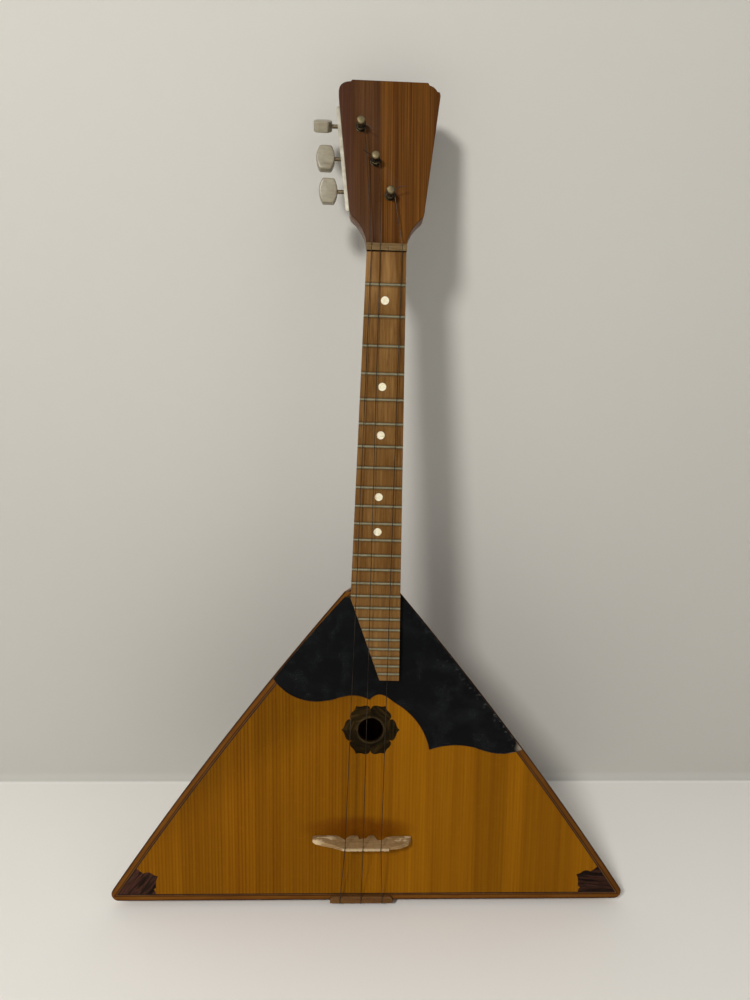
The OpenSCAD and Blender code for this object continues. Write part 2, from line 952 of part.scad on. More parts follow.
module knob(i) {
    blade_half = knob_width / 2;
    edge = 2.6;
    inner_end = 1;
    neck_half = 4;
    taper = 0.6;
    grip_start = knob_length * 0.45;
    color("#d9d3c4")
        on_worm_axis(i)
            translate([0, 0, knob_x(i) - post_x(i)])
                rotate([180, 0, knob_turns[i]])
                    difference() {
                        union() {
                            cylinder(r = knob_stem_radius, h = knob_stem, $fn = 48);
                            intersection() {
                                translate([0, knob_thickness / 2, 0])
                                    rotate([90, 0, 0])
                                        linear_extrude(height = knob_thickness)
                                            polygon(bowed_outline(
                                                [
                                                    [-neck_half, inner_end, 0],
                                                    [neck_half, inner_end, -0.6],
                                                    [blade_half, inner_end + edge, -0.8],
                                                    [blade_half - taper, knob_length - edge, -0.7],
                                                    [blade_half - edge - 1, knob_length, -0.3],
                                                    [edge + 1 - blade_half, knob_length, -0.7],
                                                    [taper - blade_half, knob_length - edge, -0.8],
                                                    [-blade_half, inner_end + edge, -0.6]
                                                ],
                                                4
                                            ));
                                rotate([90, 0, 90])
                                    translate([0, 0, -knob_width])
                                        linear_extrude(height = 2 * knob_width)
                                            polygon([
                                                [-knob_thickness / 2, 0],
                                                [knob_thickness / 2, 0],
                                                [knob_thickness / 2, grip_start],
                                                [knob_thickness / 4, knob_length],
                                                [-knob_thickness / 4, knob_length],
                                                [-knob_thickness / 2, grip_start]
                                            ]);
                            }
                        }
                        translate([0, 0, -over])
                            cylinder(r = shaft_radius, h = knob_bore_depth + over, $fn = 48);
                    }
}

post_low = gear_level + gear_thickness / 2;
waist_low = 2.4;
waist_high = 8;
string_level = 5.6;
string_hole_level = 7;
string_hole_radius = 0.8;
gear_screw_radius = 1;
gear_screw_depth = 5;
gear_screw_bore = 6;

// a string post: a turned pin with a waist for the string and a stub that carries the gear
module string_post(i) {
    shoulder = gear_level - gear_thickness / 2;
    color("#c2a15a")
        on_head()
            translate([post_x(i), 0, post_z(i)])
                rotate([90, 0, 0])
                    difference() {
                        rotate_extrude($fn = 64)
                            polygon([
                                [0, -post_low],
                                [post_stub, -post_low],
                                [post_stub, -shoulder],
                                [post_radius, -shoulder],
                                [post_radius, waist_low - waist_bevel],
                                [post_neck, waist_low],
                                [post_neck, waist_high],
                                [post_radius, waist_high + waist_bevel],
                                [post_radius, post_tip - post_bevel],
                                [post_radius - post_bevel, post_tip],
                                [0, post_tip]
                            ]);
                        translate([0, 0, string_hole_level])
                            rotate([90, 0, coil_end_angle[i]])
                                cylinder(
                                    r = string_hole_radius,
                                    h = 4 * post_radius,
                                    center = true,
                                    $fn = 24
                                );
                        translate([0, 0, -post_low - over])
                            cylinder(r = gear_screw_radius, h = gear_screw_bore + over, $fn = 24);
                    }
}

module gear_screw(i) {
    slot_width = 0.6;
    slot_depth = 0.6;
    head_radius = 2.8;
    head_height = 1.5;
    color("#a08a55")
        on_head()
            translate([post_x(i), post_low, post_z(i)])
                rotate([-90, 0, 0])
                    difference() {
                        union() {
                            cylinder(r = head_radius, h = head_height, $fn = 48);
                            translate([0, 0, -gear_screw_depth])
                                cylinder(
                                    r = gear_screw_radius,
                                    h = gear_screw_depth + head_height / 2,
                                    $fn = 24
                                );
                        }
                        translate([-head_radius - over, -slot_width / 2, head_height - slot_depth])
                            cube([2 * head_radius + 2 * over, slot_width, slot_depth + over]);
                    }
}

// turns of string round a post's waist, and the free end that sticks out of the hole above them
coil_turns = 3;
coil_pitch = 0.8;
coil_gap = 0.01;
coil_end_angle = [50, -118, 119];
coil_end_length = [9, 9.5, 11.5];
coil_low = 3;

module string_coil(i) {
    ring = post_neck + string_radius + coil_gap;
    color("#77726a")
        on_head()
            translate([post_x(i), 0, post_z(i)])
                rotate([90, 0, 0]) {
                    for (k = [0 : coil_turns - 1])
                        translate([0, 0, coil_low + k * coil_pitch])
                            rotate_extrude($fn = 64)
                                translate([ring, 0])
                                    circle(r = string_radius, $fn = 24);
                    translate([0, 0, string_hole_level])
                        rotate([90, 0, coil_end_angle[i]])
                            cylinder(r = string_radius, h = coil_end_length[i], $fn = 24);
                }
}

// plate behind the head: a trapezium that follows the posts, with three bearing lugs for each shaft
plate_foot = 29;
plate_top = 108.5;
// its left edge stands out a little beyond the head, where the knobs' shafts pass
plate_left_foot = -31.5;
plate_left_top = -40.7;
plate_corner = 2;
plate_outline = bowed_outline(
    [
        [plate_left_foot + plate_corner, plate_foot, 0],
        [12.5, plate_foot, 0],
        [12.5, 47, 0],
        [-6, plate_top, 0],
        [plate_left_top + plate_corner, plate_top, -0.6],
        [plate_left_top, plate_top - plate_corner, 0],
        [plate_left_foot, plate_foot + plate_corner, -0.6]
    ],
    4
);
screw_radius = 1.1;
screw_length = 9;
screw_spots = [[-22, 33], [9.3, 32], [-10.3, 105], [-32, 104.8], [-28, 82], [4, 54]];

module plate_screw_places() {
    for (spot = screw_spots)
        translate([spot.x, plate_back, spot.y])
            rotate([90, 0, 0])
                children();
}

// a bearing lug standing on the plate, centred on the shaft, drawn from x to x + its thickness
module lug(x, z) {
    translate([x, 0, z]) {
        translate([0, plate_back - lug_root, -lug_radius])
            cube([lug_thickness, gear_standoff + lug_root, 2 * lug_radius]);
        translate([0, gear_level, 0])
            rotate([0, 90, 0])
                cylinder(r = lug_radius, h = lug_thickness, $fn = 48);
    }
}

// left edge of a lug that stands at the plate's left edge
function edge_lug_x(i) =
    plate_left_foot
        + (plate_left_top - plate_left_foot) * (post_z(i) + worm_offset - plate_foot)
            / (plate_top - plate_foot)
        + lug_edge_gap;

module tuner_plate() {
    color("#9c9480")
        on_head()
            difference() {
                union() {
                    plate(head_back, plate_thickness)
                        polygon(plate_outline);
                    for (i = [0 : 2]) {
                        lug(post_x(i) + lug_offset, post_z(i) + worm_offset);
                        lug(post_x(i) - lug_offset - lug_thickness, post_z(i) + worm_offset);
                        lug(edge_lug_x(i), post_z(i) + worm_offset);
                    }
                }
                for (i = [0 : 2]) {
                    translate([post_x(i), head_back - over, post_z(i)])
                        rotate([-90, 0, 0])
                            cylinder(
                                r = post_radius + post_clearance,
                                h = plate_thickness + 2 * over,
                                $fn = 48
                            );
                    translate([2 * plate_left_top, gear_level, post_z(i) + worm_offset])
                        rotate([0, 90, 0])
                            cylinder(
                                r = shaft_radius + shaft_clearance,
                                h = plate_top,
                                $fn = 48
                            );
                }
                plate_screw_places()
                    translate([0, 0, -over])
                        cylinder(r = screw_radius, h = plate_thickness + 2 * over, $fn = 32);
            }
}

module plate_screws() {
    head_radius = 2.2;
    head_height = 1;
    slot_width = 0.5;
    slot_depth = 0.45;
    tip_gap = 0.5;
    color("#8d8878")
        on_head()
            plate_screw_places()
                difference() {
                    union() {
                        cylinder(r = screw_radius, h = screw_length - tip_gap, $fn = 32);
                        translate([0, 0, -head_height])
                            cylinder(r1 = head_radius * 0.7, r2 = head_radius, h = head_height, $fn = 32);
                    }
                    translate([-head_radius - over, -slot_width / 2, -head_height - over])
                        cube([2 * head_radius + 2 * over, slot_width, over + slot_depth]);
                }
}

// ---------- bridge, tail saddle and strings ----------
bridge_base = 4.6;
bridge_edge = 1.8;
// how far up from the soundboard the bridge keeps its full thickness
bridge_foot = 3;
// how much wider the bridge's notches are than those of the nut
bridge_notch_extra = 0.1;
bridge_centre_x = -6.2;
string_bridge_x = [-20, -5.3, 9.4];
string_tail_x = [-24.1, -6.4, 11.4];
arch_height = 6.3;
arch_half = 7.4;
arch_bow = 0.9;
arch_x = [-13.8, 15.2];

// the bridge seen along the strings: three feet, a high middle and lower stepped wings
module bridge_front() {
    half = bridge_length / 2;
    left_flat = -14.2;
    right_flat = 22.2;
    difference() {
        polygon(bowed_outline(
            [
                [-half, 0, 0],
                [half, 0, 0],
                [half, 3.5, 0.3],
                [half - 2.5, bridge_height * 0.5, 0.3],
                [right_flat + 8.8, bridge_height - 3.8, 0],
                [right_flat + 2, bridge_height - 2.4, 0],
                [right_flat + 1, bridge_height - 2.8, 0],
                [right_flat, bridge_height, 0],
                [left_flat, bridge_height, 0.2],
                [left_flat - 9.3, bridge_height - 5.2, -0.2],
                [left_flat - 17.5, bridge_height - 8.1, 0.3],
                [-half, 3.5, 0]
            ],
            4
        ));
        for (x = arch_x)
            translate([x, 0])
                polygon(bowed_outline(
                    [
                        [-arch_half, -over, 0],
                        [arch_half, -over, arch_bow],
                        [0, arch_height, arch_bow]
                    ],
                    8
                ));
    }
}

module bridge() {
    color("#b09066")
        translate([bridge_centre_x, 0, bridge_position])
            difference() {
                intersection() {
                    translate([0, 0, -bridge_base / 2])
                        linear_extrude(height = bridge_base)
                            mirror([0, 1])
                                bridge_front();
                    translate([-bridge_length, 0, 0])
                        rotate([90, 0, 90])
                            linear_extrude(height = 2 * bridge_length)
                                polygon([
                                    [over, -bridge_base / 2],
                                    [-bridge_foot, -bridge_base / 2],
                                    [-bridge_height - over, -bridge_edge / 2],
                                    [-bridge_height - over, bridge_edge / 2],
                                    [-bridge_foot, bridge_base / 2],
                                    [over, bridge_base / 2]
                                ]);
                }
                for (x = string_bridge_x)
                    translate([x - bridge_centre_x, string_over_bridge, -bridge_base])
                        cylinder(r = notch_radius + bridge_notch_extra, h = 2 * bridge_base, $fn = 24);
            }
}

saddle_left = -32.6;
saddle_right = 20.4;
saddle_height = 3.2;
saddle_top = 4;
saddle_drop = 2;
saddle_skirt = 6;

// the tail saddle caps the body's lower edge, so that the strings don't cut into the soundboard
module tail_saddle() {
    round_end = 3;
    color("#9b7a4c")
        intersection() {
            translate([saddle_left, 0, 0])
                rotate([90, 0, 90])
                    linear_extrude(height = saddle_right - saddle_left)
                        polygon([
                            [0, saddle_top],
                            [-saddle_height + 0.8, saddle_top],
                            [-saddle_height, saddle_top - 1],
                            [-saddle_height, -saddle_drop + 1],
                            [-saddle_height + 1, -saddle_drop],
                            [saddle_skirt, -saddle_drop],
                            [saddle_skirt, 0],
                            [0, 0]
                        ]);
            plate(-saddle_height - over, saddle_height + saddle_skirt + 2 * over)
                polygon(bowed_outline(
                    [
                        [saddle_left, -saddle_drop - over, 0],
                        [saddle_right, -saddle_drop - over, 0],
                        [saddle_right, saddle_top - round_end, -0.9],
                        [saddle_right - round_end, saddle_top, 0],
                        [saddle_left + round_end, saddle_top, -0.9],
                        [saddle_left, saddle_top - round_end, 0]
                    ],
                    5
                ));
        }
}

pin_y = 14;
pin_radius = 1.1;
pin_head_radius = 2.4;
pin_out = 4.6;
pin_in = 9;
pin_head_height = 1.2;

// the pins' places in the tail, drawn from inside the tail block outwards
module pin_holes() {
    for (x = string_tail_x)
        translate([x, pin_y, -over])
            cylinder(r = pin_radius, h = pin_in + over, $fn = 32);
}

module hitch_pins() {
    color("#8f8568")
        for (x = string_tail_x) {
            translate([x, pin_y, -pin_out])
                cylinder(r = pin_radius, h = pin_out + pin_in, $fn = 32);
            translate([x, pin_y, -pin_out - pin_head_height])
                cylinder(r1 = pin_head_radius * 0.7, r2 = pin_head_radius, h = pin_head_height, $fn = 32);
        }
}

string_over_bridge = -bridge_height + string_radius;
joint_swell = 1.15;
tangent_gap = 0.06;
// how far the strings clear the saddle they bend over
saddle_gap = 0.15;
// depth of the strings' loops below the saddle, and the gap between a loop and its pin
loop_drop = 0.9;
loop_gap = 0.1;

// a straight length of string between two points
module string_run(a, b) {
    d = b - a;
    flat = norm([d.x, d.y]);
    translate(a)
        rotate([0, atan2(flat, d.z), atan2(d.y, d.x)])
            cylinder(r = string_radius, h = norm(d), $fn = 16);
}

// one string: from its post over the nut and the bridge to its pin; the post's coils are apart
module string(i) {
    reach = post_neck + string_radius + tangent_gap;
    // the string meets its post where it just touches it, on the right
    along = [post_x(i) + reach - string_nut_x[i], post_z(i) + nut_step];
    side = [along.y, -along.x] / norm(along);
    post_at = head_point([post_x(i) + reach * side.x, -string_level, post_z(i) + reach * side.y]);
    nut_at = leaned([string_nut_x[i], string_over_nut, nut_height + nut_length - nut_step - nut_overhang]);
    bridge_at = [string_bridge_x[i], string_over_bridge, bridge_position];
    off = string_radius + saddle_gap;
    loop_z = -saddle_drop - loop_drop;
    saddle_at = [string_tail_x[i], -saddle_height - off, saddle_top - 2.5];
    edge_at = [string_tail_x[i], -saddle_height - off, 0.7 - saddle_drop];
    turn_at = [string_tail_x[i], 0.9 - saddle_height, -saddle_drop - off];
    pin_at = [string_tail_x[i], pin_y - pin_radius - off, loop_z];
    path = [post_at, nut_at, bridge_at, saddle_at, edge_at, turn_at, pin_at];
    color("#6e6a63") {
        for (k = [0 : len(path) - 2])
            string_run(path[k], path[k + 1]);
        for (k = [1 : len(path) - 1])
            translate(path[k])
                sphere(r = string_radius * joint_swell, $fn = 24);
        translate([string_tail_x[i], pin_y, loop_z])
            rotate_extrude($fn = 48)
                translate([pin_radius + string_radius + loop_gap, 0])
                    circle(r = string_radius, $fn = 16);
    }
}

placed() soundboard();
placed() rosette();
placed() corner_inlay(-1);  // corner_inlay_left
placed() corner_inlay(1);  // corner_inlay_right
placed() border_side(-1);  // border_left
placed() border_side(1);  // border_right
placed() border_tail();
placed()  // purfling_light
        purfling(border_width, border_width + light_line_width, "#c9a56a");
placed()  // purfling_dark
        purfling(border_width + light_line_width, field_inset, "#20140c");
placed() pickguard();
placed() stave(0);  // stave_left_outer
placed() stave(1);  // stave_left_middle
placed() stave(2);  // stave_left_inner
placed() stave(3);  // stave_centre
placed() stave(4);  // stave_right_inner
placed() stave(5);  // stave_right_middle
placed() stave(6);  // stave_right_outer
placed() tail_board();
placed() neck_block();
placed() tail_block();
placed() lining(-1);  // lining_left
placed() lining(1);  // lining_right
placed() brace(brace_heights[0]);  // brace_upper
placed() brace(brace_heights[1]);  // brace_middle
placed() brace(brace_heights[2]);  // brace_lower
placed() neck();
placed() head_veneer();
placed() fingerboard();
placed() frets();
placed() position_dots();
placed() nut();
placed() bridge();
placed() tail_saddle();
placed() hitch_pins();
placed() string(0);  // string_left
placed() string(1);  // string_middle
placed() string(2);  // string_right
placed() tuner_plate();
placed() plate_screws();
placed() post_bushings();
placed() string_post(0);  // string_post_top
placed() string_post(1);  // string_post_middle
placed() string_post(2);  // string_post_bottom
placed() gear(0);  // gear_top
placed() gear(1);  // gear_middle
placed() gear(2);  // gear_bottom
placed() gear_screw(0);  // gear_screw_top
placed() gear_screw(1);  // gear_screw_middle
placed() gear_screw(2);  // gear_screw_bottom
placed() string_coil(0);  // string_coil_top
placed() string_coil(1);  // string_coil_middle
placed() string_coil(2);  // string_coil_bottom
placed() worm_shaft(0);  // worm_shaft_top
placed() worm_shaft(1);  // worm_shaft_middle
placed() worm_shaft(2);  // worm_shaft_bottom
placed() knob(0);  // knob_top
placed() knob(1);  // knob_middle
placed() knob(2);  // knob_bottom
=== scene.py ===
"""A prima balalaika: the looks of its wood, metal and plastic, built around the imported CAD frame."""

import json
import math

import bmesh
import bpy
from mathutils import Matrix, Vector


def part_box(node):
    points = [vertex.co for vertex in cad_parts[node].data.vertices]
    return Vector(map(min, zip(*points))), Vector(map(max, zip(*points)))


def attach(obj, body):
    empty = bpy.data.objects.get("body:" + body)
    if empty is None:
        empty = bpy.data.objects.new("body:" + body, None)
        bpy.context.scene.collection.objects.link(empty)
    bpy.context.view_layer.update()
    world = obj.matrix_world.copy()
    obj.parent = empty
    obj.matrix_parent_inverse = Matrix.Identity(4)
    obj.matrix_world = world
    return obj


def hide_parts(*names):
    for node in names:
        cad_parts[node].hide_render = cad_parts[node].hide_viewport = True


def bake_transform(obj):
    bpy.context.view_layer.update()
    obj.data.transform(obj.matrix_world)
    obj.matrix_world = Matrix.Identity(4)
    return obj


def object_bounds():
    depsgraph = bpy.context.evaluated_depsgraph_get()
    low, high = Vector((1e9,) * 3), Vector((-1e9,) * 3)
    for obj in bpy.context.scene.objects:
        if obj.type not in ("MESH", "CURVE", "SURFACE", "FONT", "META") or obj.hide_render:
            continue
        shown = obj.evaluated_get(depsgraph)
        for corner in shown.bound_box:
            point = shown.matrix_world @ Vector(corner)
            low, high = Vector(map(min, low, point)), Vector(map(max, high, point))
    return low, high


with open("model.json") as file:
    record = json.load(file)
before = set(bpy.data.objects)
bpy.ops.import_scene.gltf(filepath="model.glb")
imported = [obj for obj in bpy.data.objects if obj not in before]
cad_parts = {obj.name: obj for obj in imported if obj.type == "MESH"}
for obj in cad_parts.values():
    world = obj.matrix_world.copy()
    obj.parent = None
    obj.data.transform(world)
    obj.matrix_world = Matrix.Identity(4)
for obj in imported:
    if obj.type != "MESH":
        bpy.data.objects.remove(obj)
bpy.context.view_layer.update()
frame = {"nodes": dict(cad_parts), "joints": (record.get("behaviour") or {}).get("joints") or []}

MM = 0.001
NODES = frame["nodes"]
JOINTS = {joint["name"]: joint for joint in frame["joints"]}

# The drawing origin: the soundboard's face, on the centre line at the body's lower edge.
BOARD_LOW, BOARD_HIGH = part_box("soundboard")
EDGE = Vector(((BOARD_LOW.x + BOARD_HIGH.x) / 2, BOARD_LOW.y, BOARD_LOW.z))
BODY_LENGTH = (BOARD_HIGH.z - BOARD_LOW.z) / MM
# half the body's width, measured to the corner the two lower sides would meet in
BOARD_HALF = 221
# half the body's width where the neck starts, and how far the two long sides bow out
NECK_HALF = 22
SIDE_BOW = 4.7
# the neck leans off the centre line, turned about a point this far up the body
NECK_LEAN = math.radians(1.06)
LEAN_HEIGHT = 130
# how far the gears stand out behind the tuner plate
GEAR_DEPTH = 12

# The string length, and the height that the frets are measured down from
SCALE_LENGTH = 435
SCALE_TOP = 529.3
FRET_COUNT = 24

# Where the strings run, in millimetres across the body and up from its edge
STRINGS = ("left", "middle", "right")
POSTS = ("top", "middle", "bottom")
STRING_RADIUS = 0.28
STRING_AT_NUT = (-11.2, -4.8, 11.4)
STRING_AT_BRIDGE = (-20, -5.3, 9.4)
STRING_AT_TAIL = (-24.1, -6.4, 11.4)
NUT_HEIGHT = 532.0
SADDLE_HEIGHT = 3.2
SADDLE_DROP = 2.0
TAIL_PIN_Y = 14

# A string post, measured out from the head's face: its tip, the string's level on it, the level of
# the hole that the wire goes through, and the radius of the waist that the wire is wound on
POST_TIP = 10.5
STRING_LEVEL = 5.6
HOLE_LEVEL = 7.0
POST_WAIST = 2.6
# from the post's axis to the middle of the wire that is wound on it
WIRE_RING = POST_WAIST + STRING_RADIUS + 0.02
# the wire's turns go down to this level, then rise to the hole over the last part of a turn
COIL_TURNS = 3.35
COIL_LOW = 3.0
RISE_TURN = 250
# the free wire ends beyond the holes: which way they point, clockwise from straight up, and how far
FREE_ANGLES = (114, -72, 61)
FREE_LENGTHS = (11.0, 10.0, 12.0)
# where the soundboard's boards meet, across the body in mm, and how much lighter each next one is
BOARD_JOINTS = ((-156, -0.09), (-121, 0.10), (-96, -0.09), (-42, 0.03), (-25, -0.07), (-4, 0.17),
                (12, -0.07), (17, 0.06), (52, -0.07), (87, -0.13), (114, 0.17), (128, -0.13), (168, 0.09))


def at(x, y, z):
    """A point in millimetres from the drawing origin, in the frame's metres."""
    return EDGE + Vector((x, y, z)) * MM


def leaned(x, y, z):
    """The same for a point of the neck, which leans off the body's centre line."""
    c, s = math.cos(NECK_LEAN), math.sin(NECK_LEAN)
    rise = z - LEAN_HEIGHT
    return at(x * c + rise * s, y, LEAN_HEIGHT - x * s + rise * c)


# ---------- mesh helpers ----------

def make_object(name, mesh, body=None, replaces=()):
    piece = bpy.data.objects.new(name, mesh)
    bpy.context.scene.collection.objects.link(piece)
    if body:
        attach(piece, body)
    if replaces:
        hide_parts(*replaces)
    return piece


def middle_of(node):
    """The middle of a CAD node's box."""
    low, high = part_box(node)
    return (low + high) / 2


def mesh_of(built, name, sharp_deg):
    """The finished mesh, shaded smooth, with edges sharper than an angle kept sharp."""
    mesh = bpy.data.meshes.new(name)
    built.to_mesh(mesh)
    built.free()
    for polygon in mesh.polygons:
        polygon.use_smooth = True
    mesh.set_sharp_from_angle(angle=math.radians(sharp_deg))
    return mesh


def join_rings(built, rings):
    """Faces all round between each ring of points and the next."""
    count = len(rings[0])
    for low, high in zip(rings, rings[1:]):
        for k in range(count):
            n = (k + 1) % count
            built.faces.new((low[k], low[n], high[n], high[k]))


def tube(name, points, radius, sides=10):
    """A closed round tube along a path, with its section carried along without twisting."""
    built = bmesh.new()
    tangent = (points[1] - points[0]).normalized()
    across = tangent.orthogonal().normalized()
    rings = []
    for i, point in enumerate(points):
        before = points[max(i - 1, 0)]
        after = points[min(i + 1, len(points) - 1)]
        tangent = (after - before).normalized()
        across = (across - tangent * across.dot(tangent)).normalized()
        side = tangent.cross(across)
        ring = []
        for k in range(sides):
            a = 2 * math.pi * k / sides
            ring.append(built.verts.new(point + (across * math.cos(a) + side * math.sin(a)) * radius))
        rings.append(ring)
    join_rings(built, rings)
    built.faces.new(list(reversed(rings[0])))
    built.faces.new(rings[-1])
    return mesh_of(built, name, 50)


def smooth_path(corners, radius, steps=5):
    """A path through corners, each rounded by an arc-like curve that starts radius before it."""
    path = [corners[0]]
    for before, corner, after in zip(corners, corners[1:], corners[2:]):
        into, out = (before - corner), (after - corner)
        reach = min(radius, into.length / 2, out.length / 2)
        start = corner + into.normalized() * reach
        end = corner + out.normalized() * reach
        for k in range(steps + 1):
            t = k / steps
            path.append(start.lerp(corner, t).lerp(corner.lerp(end, t), t))
    path.append(corners[-1])
    return path


def straight(start, end, count):
    return [start.lerp(end, i / count) for i in range(count + 1)]


def round_edges(piece, width_mm, segments, angle_deg):
    """A bevel along the edges that are sharper than an angle."""
    bevel = piece.modifiers.new("round the edges", "BEVEL")
    bevel.limit_method = "ANGLE"
    bevel.angle_limit = math.radians(angle_deg)
    bevel.width = width_mm * MM
    bevel.segments = segments
    return bevel


def soften(node, width_mm, segments=2, angle_deg=38):
    """Rounds the sharp edges of a CAD node's shape with modifiers, and leaves its own mesh alone."""
    part = NODES[node]
    weld = part.modifiers.new("join the faces", "WELD")
    weld.merge_threshold = 2e-6
    flat = part.modifiers.new("merge flat faces", "DECIMATE")
    flat.decimate_type = "DISSOLVE"
    flat.angle_limit = math.radians(0.4)
    flat.delimit = set()
    round_edges(part, width_mm, segments, angle_deg).miter_outer = "MITER_ARC"
    for polygon in part.data.polygons:
        polygon.use_smooth = True
    smooth = part.modifiers.new("shade by angle", "NODES")
    smooth.node_group = smooth_by_angle_group()


def smooth_by_angle_group():
    """A node group that shades smooth, with edges over 32 degrees kept sharp."""
    name = "smooth_by_angle"
    if name in bpy.data.node_groups:
        return bpy.data.node_groups[name]
    group = bpy.data.node_groups.new(name, "GeometryNodeTree")
    group.interface.new_socket("Geometry", in_out="INPUT", socket_type="NodeSocketGeometry")
    group.interface.new_socket("Geometry", in_out="OUTPUT", socket_type="NodeSocketGeometry")
    entry = group.nodes.new("NodeGroupInput")
    leave = group.nodes.new("NodeGroupOutput")
    angle = group.nodes.new("GeometryNodeInputMeshEdgeAngle")
    over = group.nodes.new("FunctionNodeCompare")
    over.operation = "LESS_EQUAL"
    over.inputs[1].default_value = math.radians(32)
    edges = group.nodes.new("GeometryNodeSetShadeSmooth")
    edges.domain = "EDGE"
    faces = group.nodes.new("GeometryNodeSetShadeSmooth")
    faces.domain = "FACE"
    faces.inputs["Shade Smooth"].default_value = True
    group.links.new(angle.outputs["Unsigned Angle"], over.inputs[0])
    group.links.new(entry.outputs[0], faces.inputs["Geometry"])
    group.links.new(faces.outputs["Geometry"], edges.inputs["Geometry"])
    group.links.new(over.outputs[0], edges.inputs["Shade Smooth"])
    group.links.new(edges.outputs["Geometry"], leave.inputs[0])
    return group


# ---------- material helpers ----------

class Recipe:
    """A procedural material while it is made: each method adds a node and returns its output."""

    def __init__(self, name):
        self.material = bpy.data.materials.new(name)
        self.material.use_nodes = True
        self.nodes = self.material.node_tree.nodes
        self.links = self.material.node_tree.links
        self.surface = next(n for n in self.nodes if n.type == "BSDF_PRINCIPLED")

    def add(self, kind, inputs=(), **settings):
        node = self.nodes.new(kind)
        for key, value in settings.items():
            setattr(node, key, value)
        for key, value in dict(inputs).items():
            self.feed(node.inputs[key], value)
        return node

    def feed(self, socket, value):
        if isinstance(value, bpy.types.NodeSocket):
            self.links.new(value, socket)
        elif value is not None:
            if socket.type == "RGBA" and len(value) == 3:
                value = (*value, 1)
            socket.default_value = value

    def place(self, scale=(1, 1, 1), turn=(0, 0, 0), offset=(0, 0, 0)):
        """Object coordinates, in metres times scale; scale is in waves per metre for the noises."""
        source = self.add("ShaderNodeTexCoord").outputs["Object"]
        mapping = self.add("ShaderNodeMapping", {"Vector": source, "Scale": scale, "Location": offset,
                                                 "Rotation": turn})
        return mapping.outputs["Vector"]

    def scaled(self, vector, scale, offset=(0, 0, 0)):
        """The same place with each axis stretched, for streaks along one of them."""
        return self.add("ShaderNodeMapping", {"Vector": vector, "Scale": scale,
                                              "Location": offset}).outputs["Vector"]

    def axes(self):
        source = self.add("ShaderNodeTexCoord").outputs["Object"]
        split = self.add("ShaderNodeSeparateXYZ", {"Vector": source})
        return split.outputs["X"], split.outputs["Y"], split.outputs["Z"]

    def noise(self, vector, detail=4.0, rough=0.55, bend=0.0):
        return self.add("ShaderNodeTexNoise", {"Vector": vector, "Scale": 1.0, "Detail": detail,
                                               "Roughness": rough, "Distortion": bend}).outputs["Fac"]

    def cloud(self, scale, detail=4.0, rough=0.55, bend=0.0, **placing):
        """Noise over the object; scale is in waves per metre, alike or one for each axis."""
        each = scale if isinstance(scale, tuple) else (scale, scale, scale)
        return self.noise(self.place(each, **placing), detail, rough, bend)

    def grain(self, along, pitch_mm, stretch, seed=0.0, detail=5.0, bend=0.0):
        """Noise drawn out along one axis: streaks pitch_mm wide and stretch times as long."""
        scale = [1000 / pitch_mm] * 3
        scale["XYZ".index(along)] = 1000 / pitch_mm / stretch
        return self.cloud(tuple(scale), detail, bend=bend, offset=(seed, seed * 0.7, seed * 1.3))

    def wave(self, vector, scale, bend, detail):
        return self.add("ShaderNodeTexWave", {"Vector": vector, "Scale": scale, "Distortion": bend,
                                              "Detail": detail}, wave_type="BANDS",
                        bands_direction="X").outputs["Fac"]

    def math(self, operation, a, b=None, clamp=False):
        node = self.add("ShaderNodeMath", operation=operation, use_clamp=clamp)
        for socket, value in zip(node.inputs, (a, b)):
            if value is not None:
                self.feed(socket, value)
        return node.outputs[0]

    def times(self, a, b, clamp=False):
        return self.math("MULTIPLY", a, b, clamp=clamp)

    def plus(self, a, b):
        return self.math("ADD", a, b)

    def minus(self, a, b):
        return self.math("SUBTRACT", a, b)

    def away(self, a, b):
        """How far two values are apart."""
        return self.math("ABSOLUTE", self.minus(a, b))

    def length(self, x, z):
        return self.math("SQRT", self.plus(self.times(x, x), self.times(z, z)))

    def weighed(self, *parts):
        """The sum of values, each times its weight."""
        total = None
        for value, weight in parts:
            part = self.times(value, weight)
            total = part if total is None else self.plus(total, part)
        return total

    def fit(self, value, low, high, to_low=0.0, to_high=1.0, smooth=False):
        return self.add("ShaderNodeMapRange", {"Value": value, "From Min": low, "From Max": high,
                                               "To Min": to_low, "To Max": to_high}, clamp=True,
                        interpolation_type="SMOOTHSTEP" if smooth else "LINEAR").outputs["Result"]

    def ramp(self, value, stops):
        node = self.add("ShaderNodeValToRGB", {"Fac": value})
        band = node.color_ramp
        while len(band.elements) < len(stops):
            band.elements.new(0.5)
        for element, (place, colour) in zip(band.elements, stops):
            element.position = place
            element.color = (*colour, 1)
        return node.outputs["Color"]

    def mix(self, share, a, b, how="MIX"):
        node = self.add("ShaderNodeMix", data_type="RGBA", blend_type=how)
        self.feed(node.inputs[0], share)
        self.feed(node.inputs[6], a)
        self.feed(node.inputs[7], b)
        return node.outputs[2]

    def cover(self, colour, over, mask, share):
        """The colour under another one, which shows by a share of the mask."""
        return self.mix(self.times(mask, share), colour, over)

    def tint(self, colour, factor):
        """The colour times a factor."""
        grey = self.add("ShaderNodeCombineColor", {"Red": factor, "Green": factor, "Blue": factor})
        return self.mix(1.0, colour, grey.outputs[0], "MULTIPLY")

    def bump(self, height, depth_mm, under=None, strength=1.0):
        node = self.add("ShaderNodeBump", {"Height": height, "Distance": depth_mm * MM,
                                           "Strength": strength})
        if under is not None:
            self.feed(node.inputs["Normal"], under)
        return node.outputs["Normal"]

